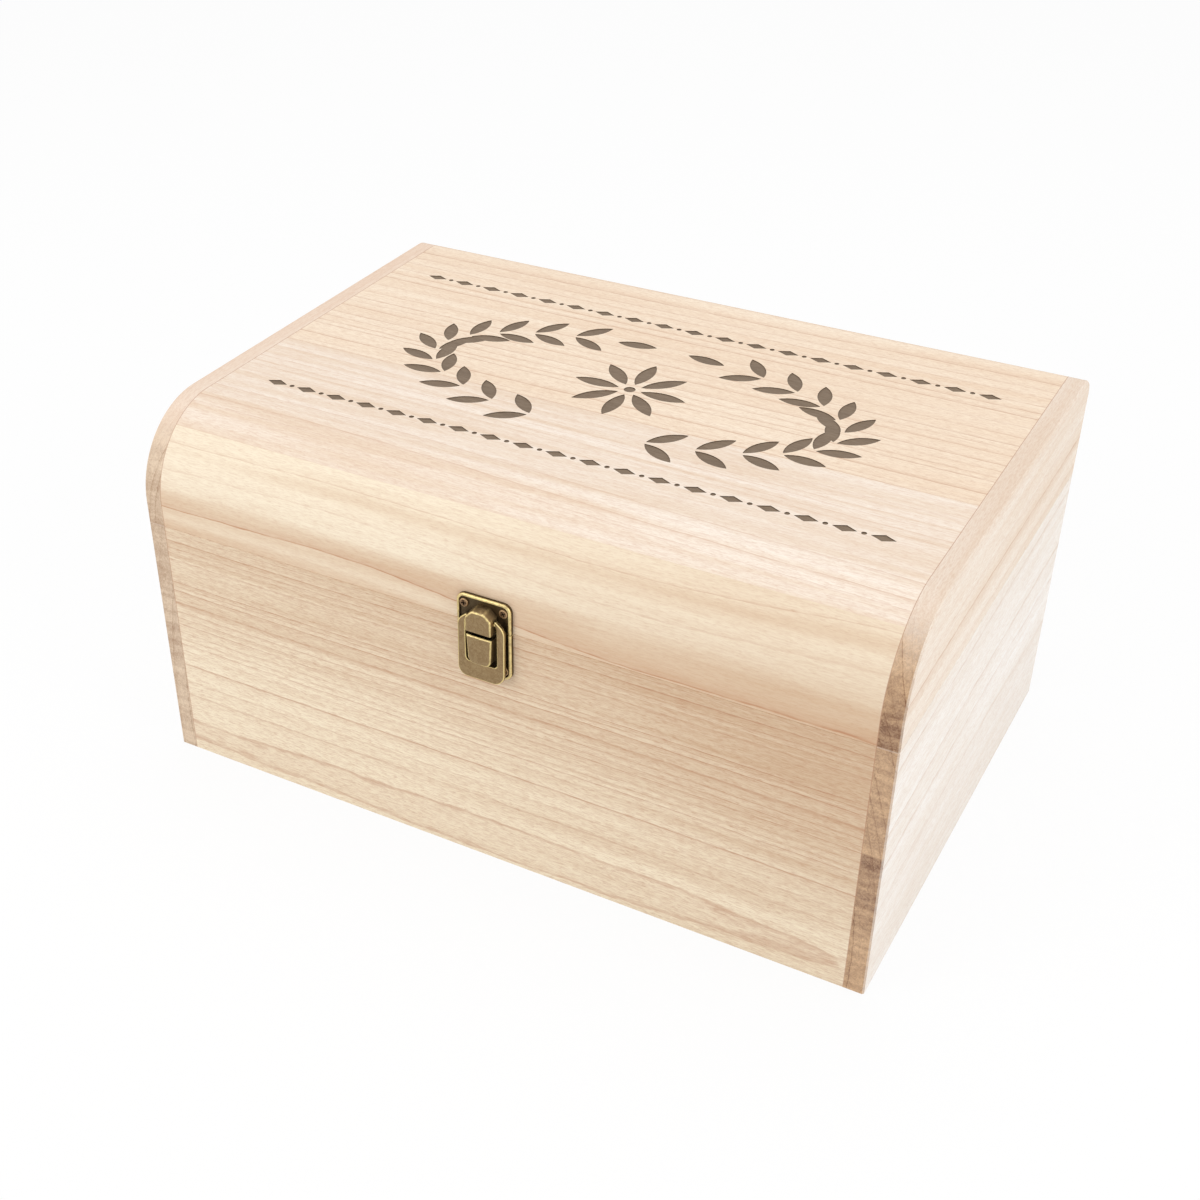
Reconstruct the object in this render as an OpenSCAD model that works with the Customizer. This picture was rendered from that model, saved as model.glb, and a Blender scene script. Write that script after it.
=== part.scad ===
// Wooden keepsake box: a deep base and a lid with a rounded front, two butt hinges behind
// and a ring catch in front.
// X runs along the width, -Y is the front and Z is up. The origin is the middle of the
// underside. Sizes are in millimetres.

/* [Box] */
// Width over the two end panels
box_w = 400; // [300:1:500]
// Depth over the front and back boards
box_d = 275; // [220:1:340]
// Height with the lid closed
box_h = 200; // [196:1:260]
// Height of the base, up to the line where the lid parts from it
base_h = 142; // [90:1:146]

/* [Boards] */
// Thickness of the boards and end panels
board_t = 10; // [8:0.5:14]
// Outer radius of the lid's front edge
front_r = 46; // [24:1:50]
// Outer radius of the lid's back edge
back_r = 12; // [3:0.5:20]
// Angle round the front radius at which the curved board meets the next one
curve_joint_angle = 54; // [30:1:75]
// Distance from the front face to the joint between the two flat top boards
top_joint = 115; // [90:1:180]
// Thickness of the tongues on the ends of the boards
tongue_t = 4; // [2:0.5:5]
// Length of those tongues
tongue_l = 4; // [2:0.5:6]
// Thickness of the bottom panel
bottom_t = 6; // [3:0.5:10]
// Depth of the rebate that the bottom panel lies in
rebate_d = 5; // [2:0.5:6]
// Clearance of the tongues in their grooves
glue_gap = 0.1; // [0.05:0.05:0.3]
// Bevel on the outer edges of the end panels
edge_bevel = 0.8; // [0.3:0.1:1.5]
// Bevel on the edges along the parting line
parting_bevel = 0.35; // [0.1:0.05:0.6]

/* [Engraving] */
// Depth of the burnt design in the lid
engrave_depth = 0.4; // [0.2:0.1:1.5]
// Distance from the front face to the middle of the design
design_from_front = 146; // [130:1:160]
// Half width of the two leafy sprigs
sprig_a = 112; // [80:1:120]
// Half depth of the two leafy sprigs
sprig_b = 50; // [36:1:56]
// Pairs of leaves on each sprig
sprig_pairs = 11; // [6:1:14]
// Length of a leaf
leaf_l = 22; // [12:1:26]
// Width of a leaf
leaf_w = 7.5; // [4:0.5:10]
// Petals of the rosette in the middle
petals = 8; // [5:1:12]
// Length of a petal
petal_l = 25; // [12:1:30]
// Width of a petal
petal_w = 8; // [4:0.5:10]
// Distance of the two border rows from the middle of the design
border_off = 78; // [70:1:84]
// Half length of a border row
border_half = 162; // [80:1:170]
// Step between the lozenges of a border row
border_step = 18; // [12:1:30]
// Length of a lozenge
lozenge_l = 12; // [6:1:16]
// Width of a lozenge
lozenge_w = 6; // [3:0.5:9]
// Radius of the dots between the lozenges
dot_r = 1.3; // [0.6:0.1:1.6]

/* [Hinges] */
// Distance of each hinge's middle from the nearer end of the box
hinge_from_end = 80; // [75:1:120]
// Length of a hinge along its pin
hinge_l = 38; // [30:1:60]
// Height of a leaf from the pin's centre
leaf_h = 17; // [14:0.5:22]
// Thickness of a leaf
leaf_t = 1.2; // [0.8:0.1:1.6]
// Outer radius of the knuckles
knuckle_r = 2.4; // [2:0.1:3.5]
// Radius of the hinge pin
pin_r = 1; // [0.7:0.05:1.2]
// Clearance round the hinge pin
pin_gap = 0.05; // [0.02:0.01:0.1]
// Radius of the head on each end of the pin
pin_head_r = 1.7; // [1.4:0.1:2]
// Thickness of that head
pin_head_t = 0.8; // [0.4:0.1:1.5]
// Gap between moving faces
moving_gap = 0.3; // [0.2:0.05:0.5]

/* [Catch] */
// Width of the catch plates
catch_w = 29; // [27.5:0.5:34]
// Height of the upper plate, on the lid
catch_h = 16; // [15:0.5:20]
// Height of the lower plate, on the base
keeper_h = 26; // [25.5:0.5:32]
// Radius of the plates' corners
catch_r = 4.5; // [3.5:0.1:5]
// Height of the plates' rim off the wood
rim_t = 2.2; // [1.8:0.1:2.5]
// Width of the rim
rim_w = 1.6; // [1:0.1:1.7]
// Height of the plates' floor off the wood
floor_t = 1.2; // [0.8:0.1:1.3]
// Bevel on the rim
rim_bevel = 0.8; // [0.3:0.1:0.9]
// Width of the hollow hood that carries the ring
hood_w = 13.7; // [12:0.1:14]
// Height of the hood above the parting line
hood_h = 11.9; // [11:0.1:13]
// Radius of the hood's upper corners
hood_r = 4.2; // [2:0.1:5]
// Distance of the hood's face from the wood
hood_out = 7.8; // [7:0.1:10]
// Wall of the hood and of the catch nose
shell_t = 1.2; // [0.8:0.1:1.5]
// Width of the nose that the ring hooks under, at its top
nose_w = 13.7; // [11:0.1:14]
// Width of the nose above its lower corners
nose_low_w = 12; // [10:0.1:13]
// Distance of the nose's top from the parting line
nose_from = 2.5; // [1:0.1:3]
// Distance of the nose's foot from the parting line
nose_to = 18.2; // [16:0.1:18.4]
// Radius of the nose's lower corners
nose_r = 3.4; // [1:0.1:4.5]
// Distance of the nose's face from the wood
nose_out = 7.2; // [6.6:0.1:9]
// Width of the ring
ring_w = 25; // [24:0.1:26]
// Width of the ring's opening
ring_opening_w = 16.8; // [15.5:0.1:17.5]
// Distance of the ring's foot from the parting line
ring_to = 27.2; // [25:0.1:29]
// Thickness of the ring
ring_t = 2; // [1.8:0.1:2.2]
// Distance of the ring's face from the wood
ring_out = 5; // [5:0.1:5.6]
// Radius of the ring's lower corners, outside
ring_r = 4.5; // [3:0.1:6]
// Clearance between the ring's bar and the foot of the nose
hook_gap = 0.4; // [0.3:0.1:1]
// Height of the ring's pivot above the parting line
pivot_up = 5.1; // [5:0.1:6.2]
// Radius of the ring's pivot studs
stud_r = 0.8; // [0.6:0.05:0.9]

/* [Screws] */
// Radius of the screw shanks
screw_r = 1.25; // [1:0.05:1.4]
// Length of a screw in the wood
screw_in = 8; // [5:0.5:8]
// Clearance round a shank
screw_gap = 0.1; // [0.05:0.05:0.2]
// Radius of the screw heads
head_r = 2.3; // [2:0.1:2.4]
// Height of the catch screws' heads
head_h = 1.1; // [0.8:0.1:1.2]
// Half distance between the two screws of a catch plate
catch_screw_x = 10.5; // [10:0.1:11]
// Height of the upper catch screws above the parting line
catch_screw_up = 10.9; // [9:0.1:11.5]
// Distance of the lower catch screws below the parting line
keeper_screw_down = 21.2; // [18:0.1:22]
// Half distance between the two screws of a hinge leaf
hinge_screw_x = 12; // [9:0.5:14]
// Distance of the hinge screws from the pin's centre
hinge_screw_up = 10.5; // [8:0.5:12]

/* [Hidden] */
$fn = 96;
past = 1;                                     // how far a cut runs past the face that it opens
inner_w = box_w - 2 * board_t;                // between the two end panels
tongue_in = (board_t - tongue_t) / 2;         // from a board's outer face to its tongue
curve_y = -box_d / 2 + front_r;               // centre of the front radius
curve_z = box_h - front_r;
joint_ray = 1.5 * front_r;
joint_y = curve_y - joint_ray * cos(curve_joint_angle);
joint_z = curve_z + joint_ray * sin(curve_joint_angle);
top_joint_y = -box_d / 2 + top_joint;
design_y = -box_d / 2 + design_from_front;
hinge_x = box_w / 2 - hinge_from_end;         // from the middle of the box to a hinge's middle
pin_out = knuckle_r + moving_gap;             // pin's centre off the back face
middle_knuckle = hinge_l / 3;
pivot_set_in = 0.2;                           // how far the pivot lies behind the ring's middle
pivot_out = ring_out - ring_t / 2 - pivot_set_in;
lug_reach = 2;                                // how far the ring's ends stand above and below the pivot
lug_tip_w = 0.6;                              // width of those ends at their tips
lug_neck = 1.7;                               // from the pivot down to where the ends start to close in
lug_x = hood_w / 2 + moving_gap;              // where the ring's ends come up beside the hood
lug_up = pivot_up + lug_reach;                // top of the ring's ends
lug_down = pivot_up - lug_neck;
shoulder_up = pivot_up - lug_reach;           // where the ring's outer corners are cut away
opening_foot = nose_to + hook_gap;            // upper edge of the ring's bar
opening_r = 1.5;                              // radius of the opening's lower corners
stud_in = 1.5 * shell_t;                      // how far a stud reaches in from the hood's side
stud_seat = 1;                                // how far it reaches into the ring's end
plate_gap = 0.15;                             // from each catch plate to the parting line
nose_bevel = shell_t / 3;                     // on the nose's upper edge
hub_r = 3;                                    // middle of the rosette
petal_from = 2 * hub_r;                       // where its petals start
sprig_span = 74;                              // angle of a sprig on each side of its middle
leaf_spread = 38;                             // angle between a leaf and its sprig
leaf_stalk = 1.5;                             // from the sprig's line to a leaf
slot_l = 1.2 * head_r;                        // length, width and depth of the screws' cross slots
slot_w = 0.7;
slot_share = 0.7;                             // as a share of the head's height
cone_overlap = 0.1;                           // how far a shank runs into its head

// ---------- places ----------

// Local X to the right, Y up from the parting line, Z out of the front face
module on_front() {
    translate([0, -box_d / 2, base_h]) rotate([90, 0, 0]) children();
}

// Local Y up from the parting line, Z out of the back face
module on_back(x) {
    translate([x, box_d / 2, base_h]) rotate([90, 0, 180]) children();
}

// A shape drawn in Y and Z, drawn out along X
module along_x(from, to) {
    translate([from, 0, 0]) rotate([90, 0, 90]) linear_extrude(to - from) children();
}

// ---------- cutters ----------

// Bars of square section turned by 45 degrees, which leave a bevel of width c on an edge
module bar_x(l, c) {
    s = c * sqrt(2);
    rotate([45, 0, 0]) cube([l, s, s], center = true);
}
module bar_y(l, c) {
    rotate([0, 0, 90]) bar_x(l, c);
}
module bar_z(l, c) {
    rotate([0, 90, 0]) bar_x(l, c);
}

// The same bevel on a quarter-round edge of radius r: the quarter lies at +X and +Y
module quarter_bevel(r, c) {
    intersection() {
        rotate_extrude() polygon([[r - c, 0], [r + past, -c - past], [r + past, past], [r - c, past]]);
        translate([0, 0, -c - past]) cube([r + past, r + past, c + 2 * past]);
    }
}

// A groove round the whole box where the lid meets the base
module parting_groove() {
    for (s = [-1, 1]) {
        translate([0, s * box_d / 2, base_h]) bar_x(box_w + 2 * past, parting_bevel);
        translate([s * box_w / 2, 0, base_h]) bar_y(box_d + 2 * past, parting_bevel);
    }
}

// ---------- base ----------

// Board across the front of the base; the back one is its mirror image
module base_board() {
    difference() {
        union() {
            translate([-inner_w / 2, -box_d / 2, 0]) cube([inner_w, board_t, base_h]);
            translate([-inner_w / 2 - tongue_l, -box_d / 2 + tongue_in, bottom_t])
                cube([inner_w + 2 * tongue_l, tongue_t, base_h - bottom_t]);
        }
        translate([-inner_w / 2 - past, -box_d / 2 + board_t - rebate_d, -past])
            cube([inner_w + 2 * past, rebate_d + past, bottom_t + past]);
        parting_groove();
    }
}

// End panel on the right; the left one is its mirror image
module base_end() {
    groove_w = tongue_t + 2 * glue_gap;
    difference() {
        translate([inner_w / 2, -box_d / 2, 0]) cube([board_t, box_d, base_h]);
        for (s = [-1, 1])
            translate([inner_w / 2 - past, s * (box_d / 2 - tongue_in - tongue_t / 2) - groove_w / 2, bottom_t])
                cube([tongue_l + glue_gap + past, groove_w, base_h]);
        translate([inner_w / 2 - past, -box_d / 2 + board_t - rebate_d, -past])
            cube([rebate_d + past, box_d - 2 * (board_t - rebate_d), bottom_t + past]);
        for (s = [-1, 1])
            translate([box_w / 2, s * box_d / 2, base_h / 2]) bar_z(base_h + 2 * past, edge_bevel);
        parting_groove();
    }
}

module base_front_board() color("burlywood") difference() {
    base_board();
    on_front() keeper_pilot_holes();
}

module base_back_board() color("burlywood") difference() {
    mirror([0, 1, 0]) base_board();
    for (x = [-hinge_x, hinge_x]) on_back(x) mirror([0, 1, 0]) hinge_pilot_holes();
}

module base_right_end() color("wheat") base_end();

module base_left_end() color("wheat") mirror([1, 0, 0]) base_end();

module base_bottom_panel() color("tan") {
    l = inner_w + 2 * rebate_d;
    d = box_d - 2 * (board_t - rebate_d);
    translate([-l / 2, -d / 2, 0]) cube([l, d, bottom_t]);
}

// ---------- lid ----------

// Side view of the lid in Y and Z, drawn in by inset; foot carries it below the parting line
module lid_outline(inset, foot = 0) {
    back_c = max(back_r, inset);
    low = base_h - foot;
    intersection() {
        union() {
            translate([-box_d / 2 + inset, low]) square([box_d - 2 * inset, curve_z - low]);
            translate([curve_y, low]) square([box_d - front_r - inset, box_h - back_c - low]);
            translate([curve_y, low]) square([box_d - front_r - back_c, box_h - inset - low]);
            translate([curve_y, curve_z]) circle(r = front_r - inset);
            if (back_r > inset) translate([box_d / 2 - back_r, box_h - back_r]) circle(r = back_r - inset);
        }
        translate([-box_d, low]) square([2 * box_d, 2 * box_h]);
    }
}

// The lid's wall between two insets
module lid_wall(outer, inner, foot = 0) {
    difference() {
        lid_outline(outer, foot);
        lid_outline(inner, foot + past);
    }
}

// One of the lid's long boards: the part of the wall inside the outline given as a child
module lid_board() {
    along_x(-inner_w / 2, inner_w / 2) intersection() {
        lid_wall(0, board_t);
        children();
    }
    along_x(-inner_w / 2 - tongue_l, inner_w / 2 + tongue_l) intersection() {
        lid_wall(tongue_in, tongue_in + tongue_t);
        children();
    }
}

module lid_front_board() color("burlywood") difference() {
    lid_board() polygon([
        [curve_y, curve_z], [joint_y, joint_z], [-box_d / 2 - past, joint_z],
        [-box_d / 2 - past, base_h - past], [curve_y, base_h - past]
    ]);
    parting_groove();
    on_front() catch_pilot_holes();
}

module lid_top_strip() color("wheat") difference() {
    lid_board() polygon([
        [curve_y, curve_z], [joint_y, joint_z], [top_joint_y, joint_z], [top_joint_y, curve_z]
    ]);
    engraved_pockets();
}

module lid_top_board() color("burlywood") difference() {
    lid_board() translate([top_joint_y, box_h - board_t]) square([box_d, board_t + past]);
    engraved_pockets();
}

module lid_back_board() color("burlywood") difference() {
    lid_board() translate([box_d / 2 - board_t, base_h - past])
        square([board_t + past, box_h - board_t - base_h + past]);
    parting_groove();
    for (x = [-hinge_x, hinge_x]) on_back(x) hinge_pilot_holes();
}

// Bevel round the outer face of the right end panel
module lid_end_bevel() {
    translate([box_w / 2, 0, 0]) {
        translate([0, -box_d / 2, (base_h + curve_z) / 2]) bar_z(curve_z - base_h, edge_bevel);
        translate([0, curve_y, curve_z]) rotate([90, 0, 90]) mirror([1, 0, 0])
            quarter_bevel(front_r, edge_bevel);
        translate([0, (curve_y + box_d / 2 - back_r) / 2, box_h])
            bar_y(box_d - front_r - back_r, edge_bevel);
        translate([0, box_d / 2 - back_r, box_h - back_r]) rotate([90, 0, 90])
            quarter_bevel(back_r, edge_bevel);
        translate([0, box_d / 2, (base_h + box_h - back_r) / 2])
            bar_z(box_h - back_r - base_h, edge_bevel);
    }
}

// End panel on the right; the left one is its mirror image
module lid_end() {
    difference() {
        along_x(inner_w / 2, box_w / 2) lid_outline(0);
        along_x(inner_w / 2 - past, inner_w / 2 + tongue_l + glue_gap)
            lid_wall(tongue_in - glue_gap, tongue_in + tongue_t + glue_gap, past);
        lid_end_bevel();
        parting_groove();
    }
}

module lid_right_end() color("wheat") lid_end();

module lid_left_end() color("wheat") mirror([1, 0, 0]) lid_end();

// ---------- engraving ----------

// Leaf or petal between two arcs, from the origin along X
module leaf(l, w) {
    r = (l * l + w * w) / (4 * w);
    translate([l / 2, 0]) intersection() {
        translate([0, r - w / 2]) circle(r = r);
        translate([0, w / 2 - r]) circle(r = r);
    }
}

module rosette() {
    circle(r = hub_r);
    for (i = [0 : petals - 1]) rotate(i * 360 / petals) translate([petal_from, 0]) leaf(petal_l, petal_w);
}

// One sprig on the right: pairs of leaves along half an ellipse, and a leaf at its tip
module sprig() {
    for (i = [0 : sprig_pairs - 1]) {
        a = -sprig_span + i * 2 * sprig_span / sprig_pairs;
        course = atan2(sprig_b * cos(a), -sprig_a * sin(a));
        for (side = [-1, 1])
            translate([sprig_a * cos(a), sprig_b * sin(a)]) rotate(course + side * leaf_spread)
                translate([leaf_stalk, 0]) leaf(leaf_l, leaf_w);
    }
    translate([sprig_a * cos(sprig_span), sprig_b * sin(sprig_span)])
        rotate(atan2(sprig_b * cos(sprig_span), -sprig_a * sin(sprig_span))) leaf(leaf_l, leaf_w);
}

// A row of lozenges with a dot between each two
module border_row() {
    n = floor(border_half / border_step);
    for (i = [-n : n])
        translate([i * border_step, 0]) polygon([
            [-lozenge_l / 2, 0], [0, -lozenge_w / 2], [lozenge_l / 2, 0], [0, lozenge_w / 2]
        ]);
    for (i = [-n : n - 1]) translate([(i + 0.5) * border_step, 0]) circle(r = dot_r);
}

module engraved_pockets() {
    translate([0, design_y, box_h - engrave_depth]) linear_extrude(engrave_depth + past) {
        rosette();
        sprig();
        mirror([1, 0]) sprig();
        for (s = [-1, 1]) translate([0, s * border_off]) border_row();
    }
}

// ---------- screws ----------

// Holes in the wood behind the screws
module pilot_hole() {
    translate([0, 0, -screw_in - screw_gap]) cylinder(r = screw_r + screw_gap, h = screw_in + past);
}
module catch_pilot_holes() {
    for (s = [-1, 1]) translate([s * catch_screw_x, catch_screw_up, 0]) pilot_hole();
}
module keeper_pilot_holes() {
    for (s = [-1, 1]) translate([s * catch_screw_x, -keeper_screw_down, 0]) pilot_hole();
}
module hinge_pilot_holes() {
    for (s = [-1, 1]) translate([s * hinge_screw_x, hinge_screw_up, 0]) pilot_hole();
}

module cross_slot(depth) {
    for (a = [0, 90]) rotate(a)
        translate([-slot_l / 2, -slot_w / 2, -depth]) cube([slot_l, slot_w, depth + past]);
}

// Screw with a low domed head that stands on a plate whose face is at height seat
module round_screw(seat) {
    dome_r = head_r * 2;
    translate([0, 0, -screw_in]) cylinder(r = screw_r, h = screw_in + seat + head_h / 2);
    difference() {
        intersection() {
            translate([0, 0, seat]) cylinder(r = head_r, h = head_h);
            translate([0, 0, seat + head_h - dome_r]) sphere(r = dome_r);
        }
        translate([0, 0, seat + head_h]) cross_slot(slot_share * head_h);
    }
}

// Screw whose cone lies in a countersink, its top at height seat
module flat_screw(seat) {
    cone_h = head_r - screw_r;
    translate([0, 0, -screw_in]) cylinder(r = screw_r, h = screw_in + seat - cone_h + cone_overlap);
    difference() {
        translate([0, 0, seat - cone_h]) cylinder(r1 = screw_r, r2 = head_r, h = cone_h);
        translate([0, 0, seat]) cross_slot(slot_share * cone_h);
    }
}

module catch_screws() color("peru") on_front()
    for (s = [-1, 1]) translate([s * catch_screw_x, catch_screw_up, 0]) round_screw(floor_t);

module keeper_screws() color("peru") on_front()
    for (s = [-1, 1]) translate([s * catch_screw_x, -keeper_screw_down, 0]) round_screw(floor_t);

module hinge_screws() {
    for (s = [-1, 1]) translate([s * hinge_screw_x, hinge_screw_up, 0]) flat_screw(leaf_t);
}

// ---------- hinges ----------

module knuckle(from, to) {
    translate([from, 0, pin_out]) rotate([0, 90, 0]) cylinder(r = knuckle_r, h = to - from);
}

// Leaf above the pin: outer says whether it carries the two outer knuckles or the middle one
module hinge_leaf(outer) {
    half = hinge_l / 2;
    mid = middle_knuckle / 2;
    own = outer ? [[-half, -mid], [mid, half]] : [[-mid, mid]];
    other = outer ? [[-mid, mid]] : [[-half - past, -mid], [mid, half + past]];
    difference() {
        union() {
            translate([-half, plate_gap, 0]) cube([hinge_l, leaf_h - plate_gap, leaf_t]);
            for (k = own) {
                shrink = moving_gap / 2;
                knuckle(max(k[0] + shrink, -half), min(k[1] - shrink, half));
            }
        }
        for (k = other)
            translate([k[0] - moving_gap / 2, -knuckle_r, -past])
                cube([k[1] - k[0] + moving_gap, 2 * knuckle_r + moving_gap, leaf_t + 2 * past]);
        translate([-half - past, 0, pin_out]) rotate([0, 90, 0])
            cylinder(r = pin_r + pin_gap, h = hinge_l + 2 * past);
        for (s = [-1, 1]) translate([s * hinge_screw_x, hinge_screw_up, 0]) {
            translate([0, 0, -past]) cylinder(r = screw_r + screw_gap, h = leaf_t + 2 * past);
            translate([0, 0, leaf_t - (head_r - screw_r)])
                cylinder(r1 = screw_r + screw_gap, r2 = head_r + screw_gap, h = head_r - screw_r);
        }
    }
}

module hinge_pin() {
    translate([-hinge_l / 2, 0, pin_out]) rotate([0, 90, 0]) cylinder(r = pin_r, h = hinge_l);
    for (s = [-1, 1])
        translate([s * (hinge_l + pin_head_t) / 2, 0, pin_out]) rotate([0, 90, 0])
            cylinder(r = pin_head_r, h = pin_head_t, center = true);
}

module lid_leaf(x) color("darkgoldenrod") on_back(x) hinge_leaf(false);
module base_leaf(x) color("darkgoldenrod") on_back(x) mirror([0, 1, 0]) hinge_leaf(true);
module lid_leaf_screws(x) color("peru") on_back(x) hinge_screws();
module base_leaf_screws(x) color("peru") on_back(x) mirror([0, 1, 0]) hinge_screws();

module left_hinge_base_leaf() base_leaf(-hinge_x);
module left_hinge_lid_leaf() lid_leaf(-hinge_x);
module left_hinge_pin() color("goldenrod") on_back(-hinge_x) hinge_pin();
module left_hinge_base_screws() base_leaf_screws(-hinge_x);
module left_hinge_lid_screws() lid_leaf_screws(-hinge_x);
module right_hinge_base_leaf() base_leaf(hinge_x);
module right_hinge_lid_leaf() lid_leaf(hinge_x);
module right_hinge_pin() color("goldenrod") on_back(hinge_x) hinge_pin();
module right_hinge_base_screws() base_leaf_screws(hinge_x);
module right_hinge_lid_screws() lid_leaf_screws(hinge_x);

// ---------- catch ----------

// Outline that stands on the X axis, with its two upper corners rounded
module tab_outline(w, h, r) {
    translate([-w / 2, 0]) square([w, h - r]);
    translate([-w / 2 + r, 0]) square([w - 2 * r, h]);
    for (s = [-1, 1]) translate([s * (w / 2 - r), h - r]) circle(r = r);
}

// Plate with a raised rim on three sides, standing on the parting line
module rimmed_plate(h) {
    inner_r = catch_r - rim_w;
    difference() {
        linear_extrude(rim_t) difference() {
            tab_outline(catch_w, h, catch_r);
            translate([-catch_w / 2, -past]) square([catch_w, past + plate_gap]);
        }
        translate([0, -past, floor_t]) linear_extrude(rim_t)
            tab_outline(catch_w - 2 * rim_w, h - rim_w + past, inner_r);
        for (s = [0, 1]) mirror([s, 0, 0]) {
            translate([catch_w / 2, (h - catch_r) / 2, rim_t]) bar_y(h - catch_r, rim_bevel);
            translate([catch_w / 2 - catch_r, h - catch_r, rim_t]) quarter_bevel(catch_r, rim_bevel);
        }
        translate([0, h, rim_t]) bar_x(catch_w - 2 * catch_r, rim_bevel);
    }
}

// Holes for the two screws of a plate
module plate_holes(up) {
    for (s = [-1, 1]) translate([s * catch_screw_x, up, -past]) cylinder(r = screw_r + screw_gap, h = rim_t + past);
}

// Hollow hood over the ring's pivot studs, open towards the parting line
module hood() {
    difference() {
        translate([0, plate_gap, 0]) linear_extrude(hood_out) tab_outline(hood_w, hood_h - plate_gap, hood_r);
        translate([0, -past, floor_t]) linear_extrude(hood_out - floor_t - shell_t)
            tab_outline(hood_w - 2 * shell_t, hood_h + past - shell_t, hood_r - shell_t);
        translate([-hood_w, pivot_up, pivot_out]) rotate([0, 90, 0])
            cylinder(r = stud_r + pin_gap, h = 2 * hood_w);
        for (s = [0, 1]) mirror([s, 0, 0]) {
            translate([hood_w / 2, (hood_h - hood_r) / 2, hood_out]) bar_y(hood_h - hood_r, rim_bevel);
            translate([hood_w / 2 - hood_r, hood_h - hood_r, hood_out]) quarter_bevel(hood_r, rim_bevel);
        }
        translate([0, hood_h, hood_out]) bar_x(hood_w - 2 * hood_r, rim_bevel);
    }
}

module catch_plate() color("darkkhaki") on_front() {
    difference() {
        rimmed_plate(catch_h);
        plate_holes(catch_screw_up);
    }
    hood();
}

// Outline of the nose, drawn in by inset and standing below the parting line
module nose_outline(inset) {
    w = nose_w / 2 - inset;
    low_w = nose_low_w / 2 - inset;
    r = nose_r - inset;
    foot = -nose_to + inset;
    polygon([
        [-w, -nose_from], [w, -nose_from], [low_w, foot + r],
        [low_w - r, foot], [r - low_w, foot], [-low_w, foot + r]
    ]);
    for (s = [-1, 1]) translate([s * (low_w - r), foot + r]) circle(r = r);
}

module nose() {
    difference() {
        linear_extrude(nose_out) nose_outline(0);
        translate([0, 0, floor_t]) linear_extrude(nose_out - floor_t - shell_t) {
            nose_outline(shell_t);
            translate([shell_t - nose_w / 2, -nose_from - past])
                square([nose_w - 2 * shell_t, 2 * past]);
        }
        translate([0, -nose_from, nose_out]) bar_x(2 * nose_w, nose_bevel);
    }
}

module keeper_plate() color("darkkhaki") on_front() {
    mirror([0, 1, 0]) difference() {
        rimmed_plate(keeper_h);
        plate_holes(keeper_screw_down);
    }
    nose();
}

// Right half of the ring's outer edge
module ring_half() {
    half = ring_w / 2;
    translate([0, -ring_to + ring_r]) square([half, ring_to - ring_r + shoulder_up]);
    translate([0, -ring_to]) square([half - ring_r, 2 * ring_r]);
    translate([half - ring_r, -ring_to + ring_r]) circle(r = ring_r);
    polygon([[lug_x, shoulder_up], [half, shoulder_up], [lug_x + lug_tip_w, lug_up], [lug_x, lug_up]]);
}

module latch_ring() color("darkkhaki") on_front() {
    translate([0, 0, ring_out - ring_t]) linear_extrude(ring_t) difference() {
        for (s = [0, 1]) mirror([s, 0]) ring_half();
        translate([0, lug_down]) mirror([0, 1])
            tab_outline(ring_opening_w, opening_foot + lug_down, opening_r);
        translate([-lug_x, 0]) square([2 * lug_x, lug_up + past]);
    }
    for (s = [0, 1]) mirror([s, 0, 0])
        translate([hood_w / 2 - stud_in, pivot_up, pivot_out]) rotate([0, 90, 0])
            cylinder(r = stud_r, h = stud_in + moving_gap + stud_seat);
}

// ---------- parts ----------

base_front_board();
base_back_board();
base_left_end();
base_right_end();
base_bottom_panel();
lid_front_board();
lid_top_strip();
lid_top_board();
lid_back_board();
lid_left_end();
lid_right_end();
left_hinge_base_leaf();
left_hinge_lid_leaf();
left_hinge_pin();
left_hinge_base_screws();
left_hinge_lid_screws();
right_hinge_base_leaf();
right_hinge_lid_leaf();
right_hinge_pin();
right_hinge_base_screws();
right_hinge_lid_screws();
catch_plate();
catch_screws();
keeper_plate();
keeper_screws();
latch_ring();
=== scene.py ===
# %% [markdown]
# # A wooden keepsake box
# The box has a deep base and a lid with a rounded front. Its long boards run from left to right between
# two end panels, two butt hinges sit behind and a small brass ring catch holds the lid in front.
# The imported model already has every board, hinge and plate at its real size, so this lesson loads it,
# gives the wood and the burnt design their finish, and models the small metal parts anew with the soft
# edges that pressed and plated metal has.

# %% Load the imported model
import math

import bmesh
import bpy
from mathutils import Matrix, Vector


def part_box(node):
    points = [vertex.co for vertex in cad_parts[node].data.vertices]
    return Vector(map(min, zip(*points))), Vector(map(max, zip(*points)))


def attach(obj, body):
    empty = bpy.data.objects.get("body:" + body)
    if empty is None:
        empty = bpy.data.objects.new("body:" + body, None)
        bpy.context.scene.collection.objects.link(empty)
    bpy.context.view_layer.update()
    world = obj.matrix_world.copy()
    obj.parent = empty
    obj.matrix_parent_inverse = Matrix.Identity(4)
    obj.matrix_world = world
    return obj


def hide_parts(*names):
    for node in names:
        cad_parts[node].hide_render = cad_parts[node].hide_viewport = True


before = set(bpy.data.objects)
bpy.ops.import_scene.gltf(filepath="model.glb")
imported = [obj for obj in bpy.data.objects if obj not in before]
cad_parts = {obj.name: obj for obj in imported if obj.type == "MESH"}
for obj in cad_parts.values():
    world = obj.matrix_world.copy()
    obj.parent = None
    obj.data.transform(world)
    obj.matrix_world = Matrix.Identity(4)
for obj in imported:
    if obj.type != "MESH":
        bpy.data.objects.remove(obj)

bpy.context.view_layer.update()

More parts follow.
